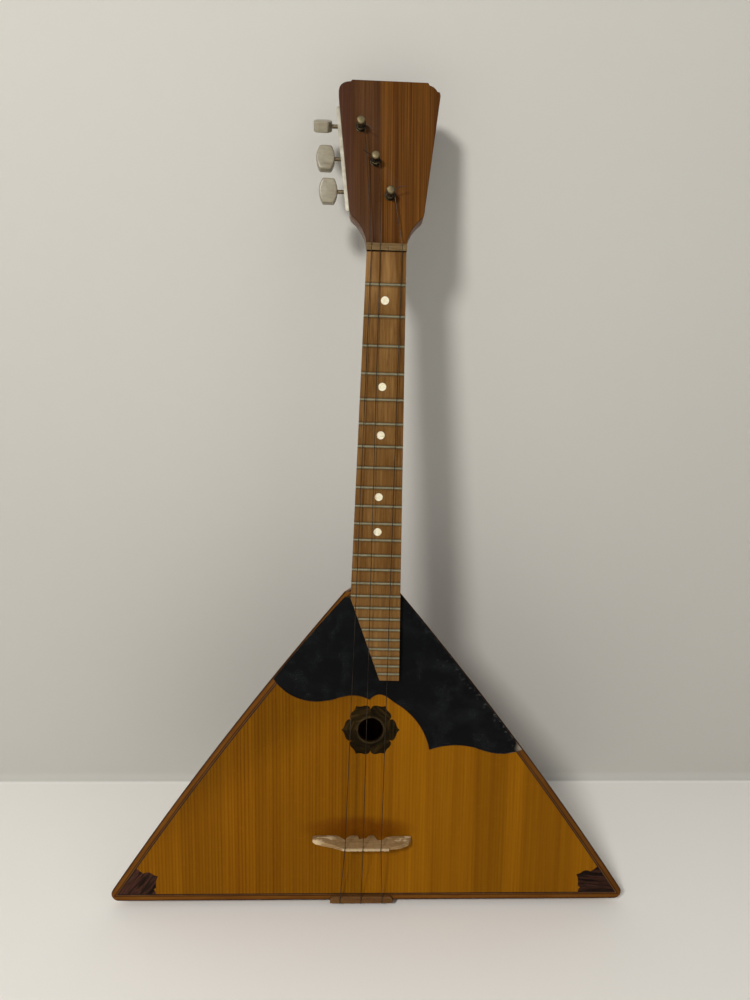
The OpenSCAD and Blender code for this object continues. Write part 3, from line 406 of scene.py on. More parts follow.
    def edge_wear(self, radius_mm):
        """1 on sharp edges and 0 on flat faces, from the turn of the bevelled normal."""
        bevel = self.add("ShaderNodeBevel", {"Radius": radius_mm * MM}, samples=4).outputs["Normal"]
        true = self.add("ShaderNodeNewGeometry").outputs["Normal"]
        dot = self.add("ShaderNodeVectorMath", {0: bevel, 1: true}, operation="DOT_PRODUCT")
        return self.fit(dot.outputs["Value"], 0.995, 0.85)

    def finish(self, colour, rough, normal=None, metal=0.0, specular=0.3, coat=0.0, coat_rough=0.2):
        values = {"Base Color": colour, "Roughness": rough, "Metallic": metal,
                  "Specular IOR Level": specular, "Coat Weight": coat, "Coat Roughness": coat_rough,
                  "Normal": normal}
        for key, value in values.items():
            self.feed(self.surface.inputs[key], value)
        return self.material


# ---------- wood ----------

def board_tone(r, x):
    """The soundboard is glued up from boards of slightly different tone, with faint joints."""
    wander = r.grain("Z", 60, 30, 3.0, 1.0)
    sway = r.times(r.minus(wander, 0.5), 0.005)
    moved = r.plus(x, sway)
    tone = 0.80
    for edge_mm, step in BOARD_JOINTS:
        jump = r.fit(moved, (edge_mm - 1.2) * MM, (edge_mm + 1.2) * MM, 0.0, step, smooth=True)
        tone = r.plus(jump, tone)
    return tone


def soundboard_wood():
    """Amber-varnished spruce with upright year rings."""
    r = Recipe("amber_spruce")
    x, y, z = r.axes()
    ring_bend = r.cloud((9, 9, 1.2), 2.0)
    bent = r.plus(x, r.times(ring_bend, 0.008))
    rings = r.add("ShaderNodeCombineXYZ", {"X": bent, "Z": r.times(z, 0.02)}).outputs[0]
    lines = r.math("POWER", r.wave(rings, 112.0, 1.6, 1.0), 3.0)
    near = r.cloud((45, 45, 0.9), 3.0)
    left = r.fit(x, -0.02, 0.02, 1.0, 0.35, smooth=True)
    lines = r.times(lines, r.times(r.fit(near, 0.30, 0.70, 0.25, 1.0), left))
    fibre = r.grain("Z", 0.5, 110, 1.0)
    streak = r.grain("Z", 3.5, 60, 2.0)
    cloud = r.cloud((7, 7, 5), 2.0)
    silk = r.cloud((60, 60, 420), 4.0)
    value = r.weighed((streak, 0.45), (fibre, 0.30), (cloud, 0.25))
    colour = r.ramp(value, [(0.36, (0.222, 0.077, 0.0014)), (0.50, (0.270, 0.100, 0.0018)),
                            (0.64, (0.320, 0.126, 0.0026))])
    colour = r.cover(colour, (0.130, 0.032, 0.0006), lines, 0.66)
    colour = r.tint(colour, board_tone(r, x))
    colour = r.mix(r.fit(silk, 0.62, 0.78, 0.0, 0.10), colour, (0.40, 0.155, 0.008))
    colour = r.mix(bridge_stain(r, x, z), colour, (0.110, 0.028, 0.0009))
    shoulder = r.plus(r.times(x, -0.75), z)
    colour = r.tint(colour, r.fit(shoulder, EDGE.z + 0.17, EDGE.z + 0.22, 1.0, 0.76, smooth=True))
    colour = r.tint(colour, r.fit(x, -0.01, 0.03, 1.0, 1.06, smooth=True))
    colour = r.mix(board_scratches(r), colour, (0.50, 0.24, 0.02))
    # Painted shade: the soundboard turns near-black within 10.6 mm of the rosette's middle, standing in for
    # the dark inside of the sound hole.
    radius = r.add("ShaderNodeVectorMath", {0: r.place(), 1: middle_of("rosette")},
                   operation="DISTANCE").outputs["Value"]
    colour = r.mix(r.fit(radius, 0.0106, 0.0112, 1.0, 0.0), colour, (0.012, 0.006, 0.002))
    rough = r.fit(r.cloud(40, 4.0), 0.3, 0.7, 0.34, 0.50)
    normal = r.bump(lines, 0.02)
    normal = r.bump(fibre, 0.015, normal)
    normal = r.bump(cloud, 0.25, normal, 0.5)
    return r.finish(colour, rough, normal, specular=0.03, coat=0.01, coat_rough=0.16)


def bridge_stain(r, x, z):
    """The darker patch of varnish above the bridge, an oval with a blotchy middle."""
    centre = middle_of("bridge")
    dx = r.math("DIVIDE", r.minus(x, centre.x - 0.004), 0.046)
    dz = r.math("DIVIDE", r.minus(z, centre.z + 0.008), 0.012)
    spread = r.plus(r.times(dx, dx), r.times(dz, dz))
    patch = r.cloud((45, 45, 70), 3.0)
    return r.times(r.fit(spread, 0.10, 1.3, 0.85, 0.0, smooth=True), r.fit(patch, 0.25, 0.6, 0.6, 1.0))


def board_scratches(r):
    """Fine curved scratches in the varnish, here and there."""
    rub = r.cloud(160, 4.0)
    scratch = r.wave(r.place((35, 35, 35), (0.0, 0.9, 0.0)), 9.0, 22.0, 3.0)
    return r.times(r.fit(scratch, 0.985, 1.0, 0.0, 0.3), r.fit(rub, 0.5, 0.65))


def plain_wood(name, stops, along="Z", pitch=1.6, stretch=40, rough=(0.34, 0.5), seed=0.0,
               coat=0.03, pore=0.25, specular=0.10, band=9.0, wear=None, wear_share=0.5):
    """Wood of one tone family: broad bands, streaks and fine pores along the grain."""
    r = Recipe(name)
    index = "XYZ".index(along)

    def drawn(width_mm, length_mm, shift, detail=5.0, bend=0.0):
        scale = [1000 / width_mm] * 3
        scale[index] = 1000 / length_mm
        place = r.scaled(r.place(), scale, (shift, shift * 0.6, shift * 1.7))
        return r.noise(place, detail, bend=bend)

    broad = drawn(band, band * stretch * 0.35, seed + 3.1, 2.0, 0.4)
    streak = drawn(pitch, pitch * stretch, seed + 7.7)
    fine = drawn(0.28, 9.0, seed + 1.3, 3.0)
    value = r.weighed((broad, 0.48), (streak, 0.42), (fine, 0.10))
    colour = r.ramp(value, stops)
    pores = r.fit(drawn(0.22, 4.5, seed + 5.0, 2.0), 0.60, 0.72)
    dark = tuple(c * 0.45 for c in stops[0][1])
    colour = r.cover(colour, dark, pores, pore)
    if wear:
        edge = r.times(r.edge_wear(0.8), r.fit(drawn(3, 9, seed + 9.0), 0.35, 0.6))
        colour = r.cover(colour, wear, edge, wear_share)
    roughness = r.fit(drawn(12, 20, seed + 4.0), 0.3, 0.7, *rough)
    normal = r.bump(fine, 0.03)
    normal = r.bump(pores, -0.045, normal)
    return r.finish(colour, roughness, normal, specular=specular, coat=coat, coat_rough=0.18)


def face_grain(r, pitch_mm, length_mm, seed, detail=3.0):
    """Streaks that run up a face seen from the front, whatever its tilt."""
    x, y, z = r.axes()
    place = r.add("ShaderNodeCombineXYZ", {"X": r.times(x, 1000 / pitch_mm), "Y": seed,
                                           "Z": r.times(z, 1000 / length_mm)})
    return r.noise(place.outputs[0], detail)


def head_wood():
    """Walnut veneer: purple-brown on the left, a dark stripe, then golden streaks to the right."""
    r = Recipe("walnut_veneer")
    x, y, z = r.axes()
    low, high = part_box("head_veneer")
    across = r.fit(x, low.x, high.x)
    sway = r.cloud((25, 25, 4), 2.0)
    across = r.plus(across, r.times(r.minus(sway, 0.5), 0.06))
    streak = face_grain(r, 1.7, 220, 4.0, 2.0)
    fine = face_grain(r, 0.55, 90, 5.0)
    broad = face_grain(r, 10, 300, 6.0, 1.0)
    value = r.weighed((streak, 0.45), (fine, 0.33), (broad, 0.22))
    dark = r.ramp(value, [(0.36, (0.034, 0.0125, 0.0065)), (0.50, (0.056, 0.0220, 0.0110)),
                          (0.64, (0.080, 0.0340, 0.0175))])
    middle = r.ramp(value, [(0.36, (0.036, 0.014, 0.005)), (0.50, (0.072, 0.029, 0.010)),
                            (0.64, (0.110, 0.047, 0.015))])
    gold = r.ramp(value, [(0.36, (0.045, 0.015, 0.003)), (0.46, (0.080, 0.028, 0.005)),
                          (0.56, (0.125, 0.047, 0.008)), (0.66, (0.190, 0.080, 0.014))])
    colour = r.mix(r.fit(across, 0.10, 0.20, smooth=True), dark, middle)
    colour = r.mix(r.fit(across, 0.37, 0.45, smooth=True), colour, gold)
    rim = r.plus(r.fit(across, 0.88, 0.98, 0.0, 0.35), r.fit(across, 0.06, 0.0, 0.0, 0.25))
    colour = r.mix(rim, colour, (0.040, 0.015, 0.006))
    stripe = r.away(across, 0.375)
    colour = r.mix(r.fit(stripe, 0.0, 0.05, 0.55, 0.0), colour, (0.028, 0.010, 0.004))
    edge = r.edge_wear(0.7)
    chips_and_glints = r.fit(r.cloud((300, 300, 120), 3.0), 0.50, 0.62)
    low_left = r.fit(across, 0.30, 0.10)
    colour = r.cover(colour, (0.020, 0.008, 0.004), edge, 0.65)
    # Pale spots along the lower left edge: partly worn chips of the veneer's chamfer, partly a painted
    # highlight where that edge catches the light.
    chipped = r.times(r.times(edge, chips_and_glints), low_left)
    colour = r.cover(colour, (0.34, 0.27, 0.21), chipped, 0.8)
    normal = r.bump(fine, 0.03)
    return r.finish(colour, r.fit(broad, 0.3, 0.7, 0.38, 0.50), normal, specular=0.03, coat=0.01,
                    coat_rough=0.14)


def fingerboard_wood():
    """Bare, played wood: pale middles of the first spaces, grimy streaks along its length."""
    r = Recipe("worn_fingerboard")
    x, y, z = r.axes()
    broad = r.cloud((90, 90, 7), 3.0)
    streak = r.grain("Z", 1.3, 18, 11.0)
    fine = r.grain("Z", 0.3, 25, 12.0, 3.0)
    value = r.weighed((broad, 0.45), (streak, 0.45), (fine, 0.10))
    colour = r.ramp(value, [(0.34, (0.085, 0.036, 0.009)), (0.46, (0.130, 0.059, 0.015)),
                            (0.58, (0.180, 0.090, 0.026)), (0.72, (0.260, 0.142, 0.046))])
    low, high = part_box("fingerboard")
    height = r.fit(z, low.z, high.z)
    pale = r.times(r.fit(height, 0.86, 0.93, smooth=True), r.fit(broad, 0.40, 0.62))
    colour = r.cover(colour, (0.38, 0.21, 0.080), pale, 0.45)
    grime = r.cloud((420, 420, 45), 5.0, 0.7, offset=(4, 2, 9))
    used = r.times(r.fit(height, 0.35, 0.60), r.fit(height, 1.0, 0.9, 0.25, 1.0))
    colour = r.mix(r.fit(height, 0.30, 0.10, 0.0, 0.22), colour, (0.27, 0.155, 0.055))
    colour = r.mix(r.times(r.fit(grime, 0.52, 0.70), r.times(used, 0.62)), colour,
                   (0.075, 0.034, 0.012))
    colour = r.mix(r.fit(z, high.z - 0.0016, high.z - 0.0009), colour, (0.020, 0.007, 0.003))
    across = r.times(x, NECK_LEAN)
    # Painted shade: a darker band on either side of each fret, standing in for the shade that the fret casts
    # on the board.
    for number in range(1, FRET_COUNT + 1):
        fret = leaned(0, 0, SCALE_TOP - SCALE_LENGTH * (1 - 2 ** (-number / 12)))
        gap = r.away(r.plus(z, across), fret.z)
        colour = r.mix(r.fit(gap, 0.0011, 0.0026, 0.55, 0.0), colour, (0.080, 0.040, 0.015))
    front = r.fit(y, low.y + 0.0006, low.y + 0.0012, 1.0, 0.0)
    colour = r.mix(front, (0.070, 0.030, 0.012), colour)
    normal = r.bump(streak, 0.05)
    normal = r.bump(fine, 0.03, normal)
    return r.finish(colour, r.fit(broad, 0.3, 0.7, 0.50, 0.68), normal, specular=0.03)


def border_wood(name, along_edge_deg, inset, tone=0.70):
    """Red-brown border strip, grain along its length, a dark line inside and a dark outer edge.

    inset is a function that gives the distance from the body's edge in metres.
    """
    r = Recipe(name)
    vector = r.place(turn=(0.0, math.radians(along_edge_deg), 0.0))
    streak = r.noise(r.scaled(vector, (900, 900, 30)), 4.0)
    fine = r.noise(r.scaled(vector, (3000, 3000, 90)), 3.0)
    broad = r.cloud(25, 2.0)
    value = r.weighed((streak, 0.5), (fine, 0.2), (broad, 0.3))
    colour = r.ramp(value, [(0.36, (0.115, 0.036, 0.0045)), (0.50, (0.180, 0.062, 0.0080)),
                            (0.64, (0.250, 0.095, 0.0140))])
    depth = inset(r)
    inner = r.away(depth, 0.0042)
    colour = r.mix(r.fit(inner, 0.0002, 0.0006, 0.80, 0.0), colour, (0.030, 0.008, 0.002))
    middle = r.away(depth, 0.0026)
    colour = r.mix(r.fit(middle, 0.0002, 0.0012, 0.25, 0.0), colour, (0.270, 0.110, 0.018))
    colour = r.mix(r.fit(depth, 0.0005, 0.0010, 0.90, 0.0), colour, (0.035, 0.010, 0.004))
    rough = r.fit(broad, 0.3, 0.7, 0.36, 0.5)
    return r.finish(r.tint(colour, tone), rough, r.bump(fine, 0.02), specular=0.03, coat=0.01)


def side_inset(r):
    """Distance from the body's bowed side edge, on either side of the body."""
    narrowing = BOARD_HALF - NECK_HALF
    chord = math.hypot(narrowing, BODY_LENGTH)
    radius = (chord * chord / 4 + SIDE_BOW * SIDE_BOW) / (2 * SIDE_BOW)
    centre_x = (BOARD_HALF + NECK_HALF) / 2 - BODY_LENGTH / chord * (radius - SIDE_BOW)
    centre_z = BODY_LENGTH / 2 - narrowing / chord * (radius - SIDE_BOW)
    x, y, z = r.axes()
    dx = r.minus(r.math("ABSOLUTE", x), centre_x * MM)
    dz = r.minus(z, EDGE.z + centre_z * MM)
    return r.minus(radius * MM, r.length(dx, dz))


def tail_inset(r):
    """Distance from the body's straight lower edge."""
    return r.minus(r.axes()[2], EDGE.z)


def rosewood(name, turn_deg, seed, tone=1.0):
    """Dark inlay wood with purple-brown and paler stripes."""
    r = Recipe(name)
    vector = r.place(turn=(0.0, math.radians(turn_deg), 0.0), offset=(seed, 0, seed * 2))
    stripe = r.noise(r.scaled(vector, (420, 420, 26)), 3.0, bend=0.4)
    fine = r.noise(r.scaled(vector, (2600, 2600, 160)), 3.0)
    value = r.plus(r.times(stripe, 0.85), r.times(fine, 0.15))
    colour = r.ramp(value, [(0.38, (0.011, 0.006, 0.004)), (0.47, (0.030, 0.015, 0.009)),
                            (0.54, (0.090, 0.034, 0.022)), (0.60, (0.035, 0.014, 0.010)),
                            (0.68, (0.150, 0.085, 0.055))])
    edge = r.edge_wear(0.4)
    colour = r.tint(r.cover(colour, (0.008, 0.004, 0.003), edge, 0.5), tone)
    return r.finish(colour, 0.42, r.bump(fine, 0.02), specular=0.03, coat=0.01)


def rosette_wood():
    """Olive-brown petals cut from one dark sheet, with thin joints between them and a pale rim."""
    r = Recipe("rosette_wood")
    x, y, z = r.axes()
    centre = middle_of("rosette")
    dx = r.minus(x, centre.x)
    dz = r.minus(z, centre.z)
    petals_round = r.plus(r.math("DIVIDE", r.math("ARCTAN2", dz, dx), math.pi / 3), 0.5)
    radius = r.length(dx, dz)
    sector = r.math("FLOOR", petals_round)
    within = r.away(petals_round, r.plus(sector, 0.5))
    joint = r.fit(r.times(r.minus(0.5, within), radius), 0.00005, 0.00022, 1.0, 0.0)
    turned = r.add("ShaderNodeCombineXYZ", {"Z": r.times(sector, 1.9)}).outputs[0]
    place = r.add("ShaderNodeVectorRotate", {"Vector": r.place(), "Angle": r.times(sector, 0.9),
                                             "Axis": (0, 1, 0)}, rotation_type="AXIS_ANGLE").outputs[0]
    place = r.add("ShaderNodeVectorMath", {0: place, 1: turned}, operation="ADD").outputs[0]
    grain = r.noise(r.scaled(place, (700, 300, 60)), 5.0)
    shade = r.add("ShaderNodeTexWhiteNoise", {"W": sector}, noise_dimensions="1D").outputs["Value"]
    value = r.plus(grain, r.times(r.minus(shade, 0.5), 0.12))
    colour = r.ramp(value, [(0.34, (0.005, 0.003, 0.0009)), (0.48, (0.012, 0.0072, 0.0018)),
                            (0.60, (0.024, 0.014, 0.0035)), (0.72, (0.048, 0.026, 0.0065))])
    colour = r.cover(colour, (0.004, 0.003, 0.002), joint, 0.7)
    rim = r.fit(r.away(radius, 0.0112), 0.0002, 0.0009, 0.22, 0.0)
    colour = r.mix(rim, colour, (0.10, 0.070, 0.034))
    edge = r.edge_wear(0.7)
    colour = r.cover(colour, (0.012, 0.005, 0.001), edge, 0.9)
    return r.finish(colour, 0.46, r.bump(grain, 0.04), specular=0.03)


def guard_plastic():
    """Matt black sheet, with grey-blue scuffs, hair scratches and a rubbed, chipped lower right tip."""
    r = Recipe("black_guard")
    x, y, z = r.axes()
    scuff = r.cloud((28, 28, 42), 6.0, 0.68, 0.6, turn=(0.0, 0.5, 0.0))
    fog = r.cloud((9, 9, 14), 3.0)
    colour = r.mix(r.times(r.fit(scuff, 0.50, 0.72), r.fit(fog, 0.35, 0.65, 0.25, 1.0)),
                   (0.0020, 0.0023, 0.0026), (0.0072, 0.0082, 0.0088))
    lines = None
    for turn, size, bend in ((0.4, 7.0, 30.0), (1.9, 5.0, 26.0), (2.7, 9.0, 34.0)):
        wave = r.wave(r.place((30, 30, 30), (0.0, turn, 0.0), (turn, turn, turn)), size, bend, 4.0)
        line = r.fit(wave, 0.990, 1.0)
        lines = line if lines is None else r.math("MAXIMUM", lines, line)
    rare = r.fit(r.cloud(60, 2.0, offset=(8, 1, 3)), 0.52, 0.62)
    lines = r.times(lines, rare)
    colour = r.cover(colour, (0.040, 0.046, 0.052), lines, 0.60)
    low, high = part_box("pickguard")
    near_tip = r.times(r.fit(x, high.x - 0.030, high.x - 0.004), r.fit(z, low.z + 0.030, low.z + 0.006))
    edge = r.edge_wear(1.3)
    rubbed = r.times(edge, r.fit(r.cloud(240, 5.0), 0.42, 0.60))
    shown = r.times(rubbed, r.plus(0.22, r.times(near_tip, 1.6)), clamp=True)
    colour = r.mix(shown, colour, (0.20, 0.175, 0.145))
    rim = r.fit(side_inset(r), 0.0065, 0.0015)
    specks = r.fit(r.cloud(420, 3.0, offset=(2, 7, 4)), 0.60, 0.68)
    worn = r.times(r.times(specks, rim), r.fit(x, 0.02, 0.09))
    colour = r.cover(colour, (0.085, 0.083, 0.080), worn, 0.8)
    corner = high.x - low.z * 0.5
    chip = r.times(r.fit(r.minus(x, r.times(z, 0.5)), corner - 0.010, corner - 0.006), rim)
    colour = r.cover(colour, (0.26, 0.215, 0.165), chip, 0.85)
    dust = r.fit(r.cloud(900, 2.0), 0.72, 0.80, 0.0, 0.10)
    colour = r.mix(dust, colour, (0.05, 0.05, 0.05))
    rough = r.plus(r.fit(scuff, 0.3, 0.7, 0.40, 0.60), r.times(lines, 0.15))
    normal = r.bump(scuff, 0.05)
    normal = r.bump(lines, -0.03, normal)
    return r.finish(colour, rough, normal, specular=0.06)


# ---------- metal, plastic and bone ----------

def metal(name, base, dark, rough=(0.28, 0.5), brush=(1400, 1400, 90), dirt=0.5, shine=0.92):
    """Dull, handled metal: tarnish in soft clouds, small dark specks and brushed or turned lines."""
    r = Recipe(name)
    cloud = r.cloud(160, 5.0, 0.6)
    specks = r.fit(r.cloud(1900, 2.0), 0.62, 0.74)
    lines = r.cloud(brush, 3.0)
    colour = r.mix(r.fit(cloud, 0.35, 0.68, 0.0, dirt), base, dark)
    colour = r.mix(r.times(specks, dirt * 0.7), colour, tuple(c * 0.35 for c in dark))
    edge = r.edge_wear(0.25)
    colour = r.mix(r.times(edge, 0.35), colour, tuple(min(1.0, c * 1.35) for c in base))
    rough_value = r.plus(r.fit(cloud, 0.3, 0.7, *rough), r.times(specks, 0.12))
    return r.finish(colour, rough_value, r.bump(lines, 0.01), metal=shine, specular=0.3)


def knob_plastic():
    """Off-white plastic, yellowed in clouds, with faint flow lines and fine specks of grime."""
    r = Recipe("knob_plastic")
    cloud = r.cloud(90, 4.0, 0.6, 0.5)
    flow = r.cloud((120, 500, 500), 4.0)
    colour = r.ramp(r.weighed((cloud, 0.6), (flow, 0.4)),
                    [(0.32, (0.205, 0.172, 0.116)), (0.52, (0.270, 0.237, 0.166)),
                     (0.70, (0.340, 0.310, 0.228))])
    edge = r.edge_wear(0.9)
    colour = r.cover(colour, (0.50, 0.47, 0.38), edge, 0.35)
    grime = r.fit(r.cloud(700, 3.0), 0.58, 0.72, 0.0, 0.35)
    colour = r.mix(grime, colour, (0.26, 0.22, 0.15))
    normal = r.bump(flow, 0.02)
    r.feed(r.surface.inputs["Subsurface Weight"], 0.12)
    r.feed(r.surface.inputs["Subsurface Radius"], (0.002, 0.0015, 0.001))
    r.feed(r.surface.inputs["Subsurface Scale"], 0.6)
    return r.finish(colour, r.fit(cloud, 0.3, 0.7, 0.26, 0.42), normal, specular=0.4)


def pearl():
    """Cream pearl dots with soft bands that shift in tone."""
    r = Recipe("pearl_dot")
    band = r.cloud((260, 260, 420), 4.0, 0.5, 1.2)
    colour = r.ramp(band, [(0.30, (0.60, 0.52, 0.33)), (0.50, (0.76, 0.69, 0.49)),
                           (0.70, (0.88, 0.84, 0.68))])
    edge = r.edge_wear(0.35)
    colour = r.cover(colour, (0.22, 0.14, 0.06), edge, 0.7)
    return r.finish(colour, 0.24, r.bump(band, 0.02), specular=0.5, coat=0.15)


def bone(name, stops, seed=0.0):
    """Nut and saddle: dense pale material with fine lines along X and lighter worn edges."""
    return plain_wood(name, stops, along="X", pitch=0.8, stretch=22, seed=seed, rough=(0.40, 0.55),
                      coat=0.0, pore=0.5, band=5.0, specular=0.06,
                      wear=tuple(min(1.0, c * 1.6) for c in stops[-1][1]), wear_share=0.45)


def string_metal():
    r = Recipe("string_steel")
    length = r.cloud((30, 30, 55), 4.0)
    fine = r.cloud((3000, 3000, 900), 3.0)
    colour = r.ramp(length, [(0.35, (0.014, 0.010, 0.007)), (0.55, (0.034, 0.025, 0.018)),
                             (0.75, (0.09, 0.075, 0.06))])
    return r.finish(colour, r.fit(fine, 0.3, 0.7, 0.30, 0.48), r.bump(fine, 0.008), metal=0.85,
                    specular=0.5)


def inner_wood(name, seed):
    return plain_wood(name, [(0.3, (0.42, 0.27, 0.12)), (0.5, (0.52, 0.36, 0.18)),
                             (0.7, (0.62, 0.46, 0.26))], rough=(0.6, 0.75), coat=0.0, seed=seed,
                      pore=0.15, specular=0.15)


def stave_wood(number):
    """Red-brown varnished back: each stave is cut from its own piece, so tone and figure differ."""
    light = 1.0 + 0.16 * math.sin(number * 2.3)
    stops = [(0.30, (0.085 * light, 0.030 * light, 0.008)), (0.50, (0.150 * light, 0.056 * light, 0.013)),
             (0.72, (0.240 * light, 0.100 * light, 0.024))]
    return plain_wood(f"back_stave_{number}", stops, pitch=2.2, stretch=34, seed=number * 3.7,
                      coat=0.25, rough=(0.28, 0.40), band=13.0, wear=(0.035, 0.014, 0.006),
                      wear_share=0.8)


# ---------- pieces with a finer shape than the CAD's ----------

class Post:
    """The frame of one string post: its axis points out of the head's face."""

    def __init__(self, name):
        self.name = name
        turn = JOINTS[f"post_turn_{name}"]
        self.out = -Vector(turn["axis"]).normalized()
        self.right = Vector(JOINTS[f"knob_turn_{name}"]["axis"]).normalized()
        self.up = self.right.cross(self.out).normalized()
        self.up = self.up if self.up.z > 0 else -self.up
        base = Vector(turn["pos_m"])
        tip = max((v.co - base).dot(self.out) for v in NODES[f"string_post_{name}"].data.vertices)
        self.face = base + self.out * (tip - POST_TIP * MM)

    def spot(self, radius, angle_deg, level):
        """A point at an angle clockwise from straight up, at a level over the head's face, in mm."""
        a = math.radians(angle_deg)
        return self.face + (self.right * math.sin(a) + self.up * math.cos(a)) * radius * MM \
            + self.out * level * MM


def nut_point(i):
    """Where a string leaves the nut towards its post, just over the nut's top."""
    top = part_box("nut")[0].y
    point = leaned(STRING_AT_NUT[i], 0, NUT_HEIGHT)
    point.y = top + STRING_RADIUS * MM - 0.1 * MM
    return point


def tangent_angle(post, target):
    """The clockwise angle at which a string from below just touches the post on its right side."""
    to = target - post.face
    x, z = to.dot(post.right) / MM, to.dot(post.up) / MM
    heading = math.degrees(math.atan2(x, z))
    turn = math.degrees(math.acos(WIRE_RING / math.hypot(x, z)))
    angle = heading - turn
    return angle if math.sin(math.radians(angle)) > 0 else heading + turn


def wire(name, points, body=None, replaces=(), radius=STRING_RADIUS, sides=10):
    """A length of string along a path."""
    return make_object(name, tube(name, points, radius * MM, sides), body, replaces)


def string_coil(post, i, start_deg):
    """Turns of wire down the post's waist, a rise back to the hole, and the free end beyond it."""
    free_angle, free_length = FREE_ANGLES[i], FREE_LENGTHS[i]
    # the last turn ends at the mouth of the hole, opposite the free end
    end = start_deg - 360 * COIL_TURNS
    extra = (end - (free_angle + 180)) % 360
    end += 360 - extra if extra < 90 else -extra
    steps = 1 + int(COIL_TURNS * 24)
    points = []
    for k in range(steps + 1):
        t = k / steps
        points.append(post.spot(WIRE_RING, start_deg + (end + RISE_TURN - start_deg) * t,
                                STRING_LEVEL + (COIL_LOW - STRING_LEVEL) * t))
    for k in range(1, 17):
        t = k / 16
        lift = t * t * (3 - 2 * t)
        swell = 2.1 * STRING_RADIUS * math.sin(math.pi * min(1.0, t * 1.15))
        points.append(post.spot(WIRE_RING + swell, end + RISE_TURN * (1 - t),
                                COIL_LOW + (HOLE_LEVEL - COIL_LOW) * lift))
    for reach, rise in ((-1.6, 0.0), (1.2, 0.05), (3.2, 0.1), (free_length * 0.62, 0.35),
                        (free_length * 0.85, 0.5), (free_length, 0.9)):
        bend = 12.0 * max(0.0, reach - 3) / free_length
        outward = post.spot(1, free_angle + bend, 0) - post.face
        points.append(post.spot(1, free_angle, HOLE_LEVEL + rise) + outward * (reach - 1))
    name = f"string_coil_{post.name}"
    return wire(f"{name}_wire", points, f"post_{post.name}", [name])


def tail_loop(tail_x, start):
    """From the saddle down over the tail's edge, and once round the hitch pin."""
    under = -SADDLE_DROP
    path = [start, at(tail_x, -SADDLE_HEIGHT - STRING_RADIUS - 0.05, -0.9),
            at(tail_x, -SADDLE_HEIGHT + 0.9, under - 0.5),
            at(tail_x - 0.9, TAIL_PIN_Y - 5.5, under - 0.8)]
    points = smooth_path(path, 1.2 * MM, 6)[:-1]
    for angle_deg in range(-50, 311, 20):
        a = math.radians(angle_deg)
        points.append(at(tail_x + 1.5 * math.sin(a), TAIL_PIN_Y - 1.5 * math.cos(a),
                         under - 0.9 - 0.25 * a / 6))
    points.append(at(tail_x + 0.75, TAIL_PIN_Y - 5.5, under - 1.0))
    return points


def tail_twist(tail_x):
    """The end of the string, wound five times round itself in front of the hitch pin."""
    points = []
    for k in range(49):
        t = k / 48
        a = math.radians(360 * 5 * t)
        points.append(at(tail_x - 0.1 + 0.72 * math.cos(a), TAIL_PIN_Y - 5.6 - 4.2 * t,
                         -SADDLE_DROP - 0.75 + 0.54 * math.sin(a)))
    return points


def make_strings():
    """Each string is cut at the nut, the bridge and the saddle, so it stays whole when the bridge slides."""
    pieces = []
    crest_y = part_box("bridge")[0].y + 0.4 * MM
    crest_z = middle_of("bridge").z
    for i, (side, post_name) in enumerate(zip(STRINGS, POSTS)):
        name = f"string_{side}"
        post = Post(post_name)
        nut_at = nut_point(i)
        angle = tangent_angle(post, nut_at)
        post_at = post.spot(WIRE_RING, angle, STRING_LEVEL)
        bridge_at = Vector((EDGE.x + STRING_AT_BRIDGE[i] * MM, crest_y, crest_z))
        tail_x = STRING_AT_TAIL[i]
        saddle_at = at(tail_x, -SADDLE_HEIGHT - STRING_RADIUS, 3.0)
        head = wire(f"{name}_head", straight(post_at, nut_at, 8), "root", [name])
        neck = wire(f"{name}_neck", straight(nut_at, bridge_at, 60))
        tail = wire(f"{name}_tail", straight(bridge_at, saddle_at, 16))
        loop = wire(f"{name}_loop", tail_loop(tail_x, saddle_at), "root")
        twist = wire(f"{name}_twist", tail_twist(tail_x), "root", (), STRING_RADIUS * 0.85, 8)
        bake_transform(neck)
        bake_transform(tail)
        pieces += [head, neck, tail, loop, twist, string_coil(post, i, angle)]
    return pieces


def knob_outline(length, half_width):
    """The knob's broad face: straight long sides between two bowed ends, as points (along, across)."""
    stem_bow, end_bow = 0.19 * length, 0.20 * length
    steps = 12
    points = []
    for k in range(steps + 1):
        t = 1 - 2 * k / steps
        points.append((length - end_bow * t * t, half_width * t))
    for k in range(steps + 1):
        t = 2 * k / steps - 1
        points.append((stem_bow * t * t, half_width * t))
    return points


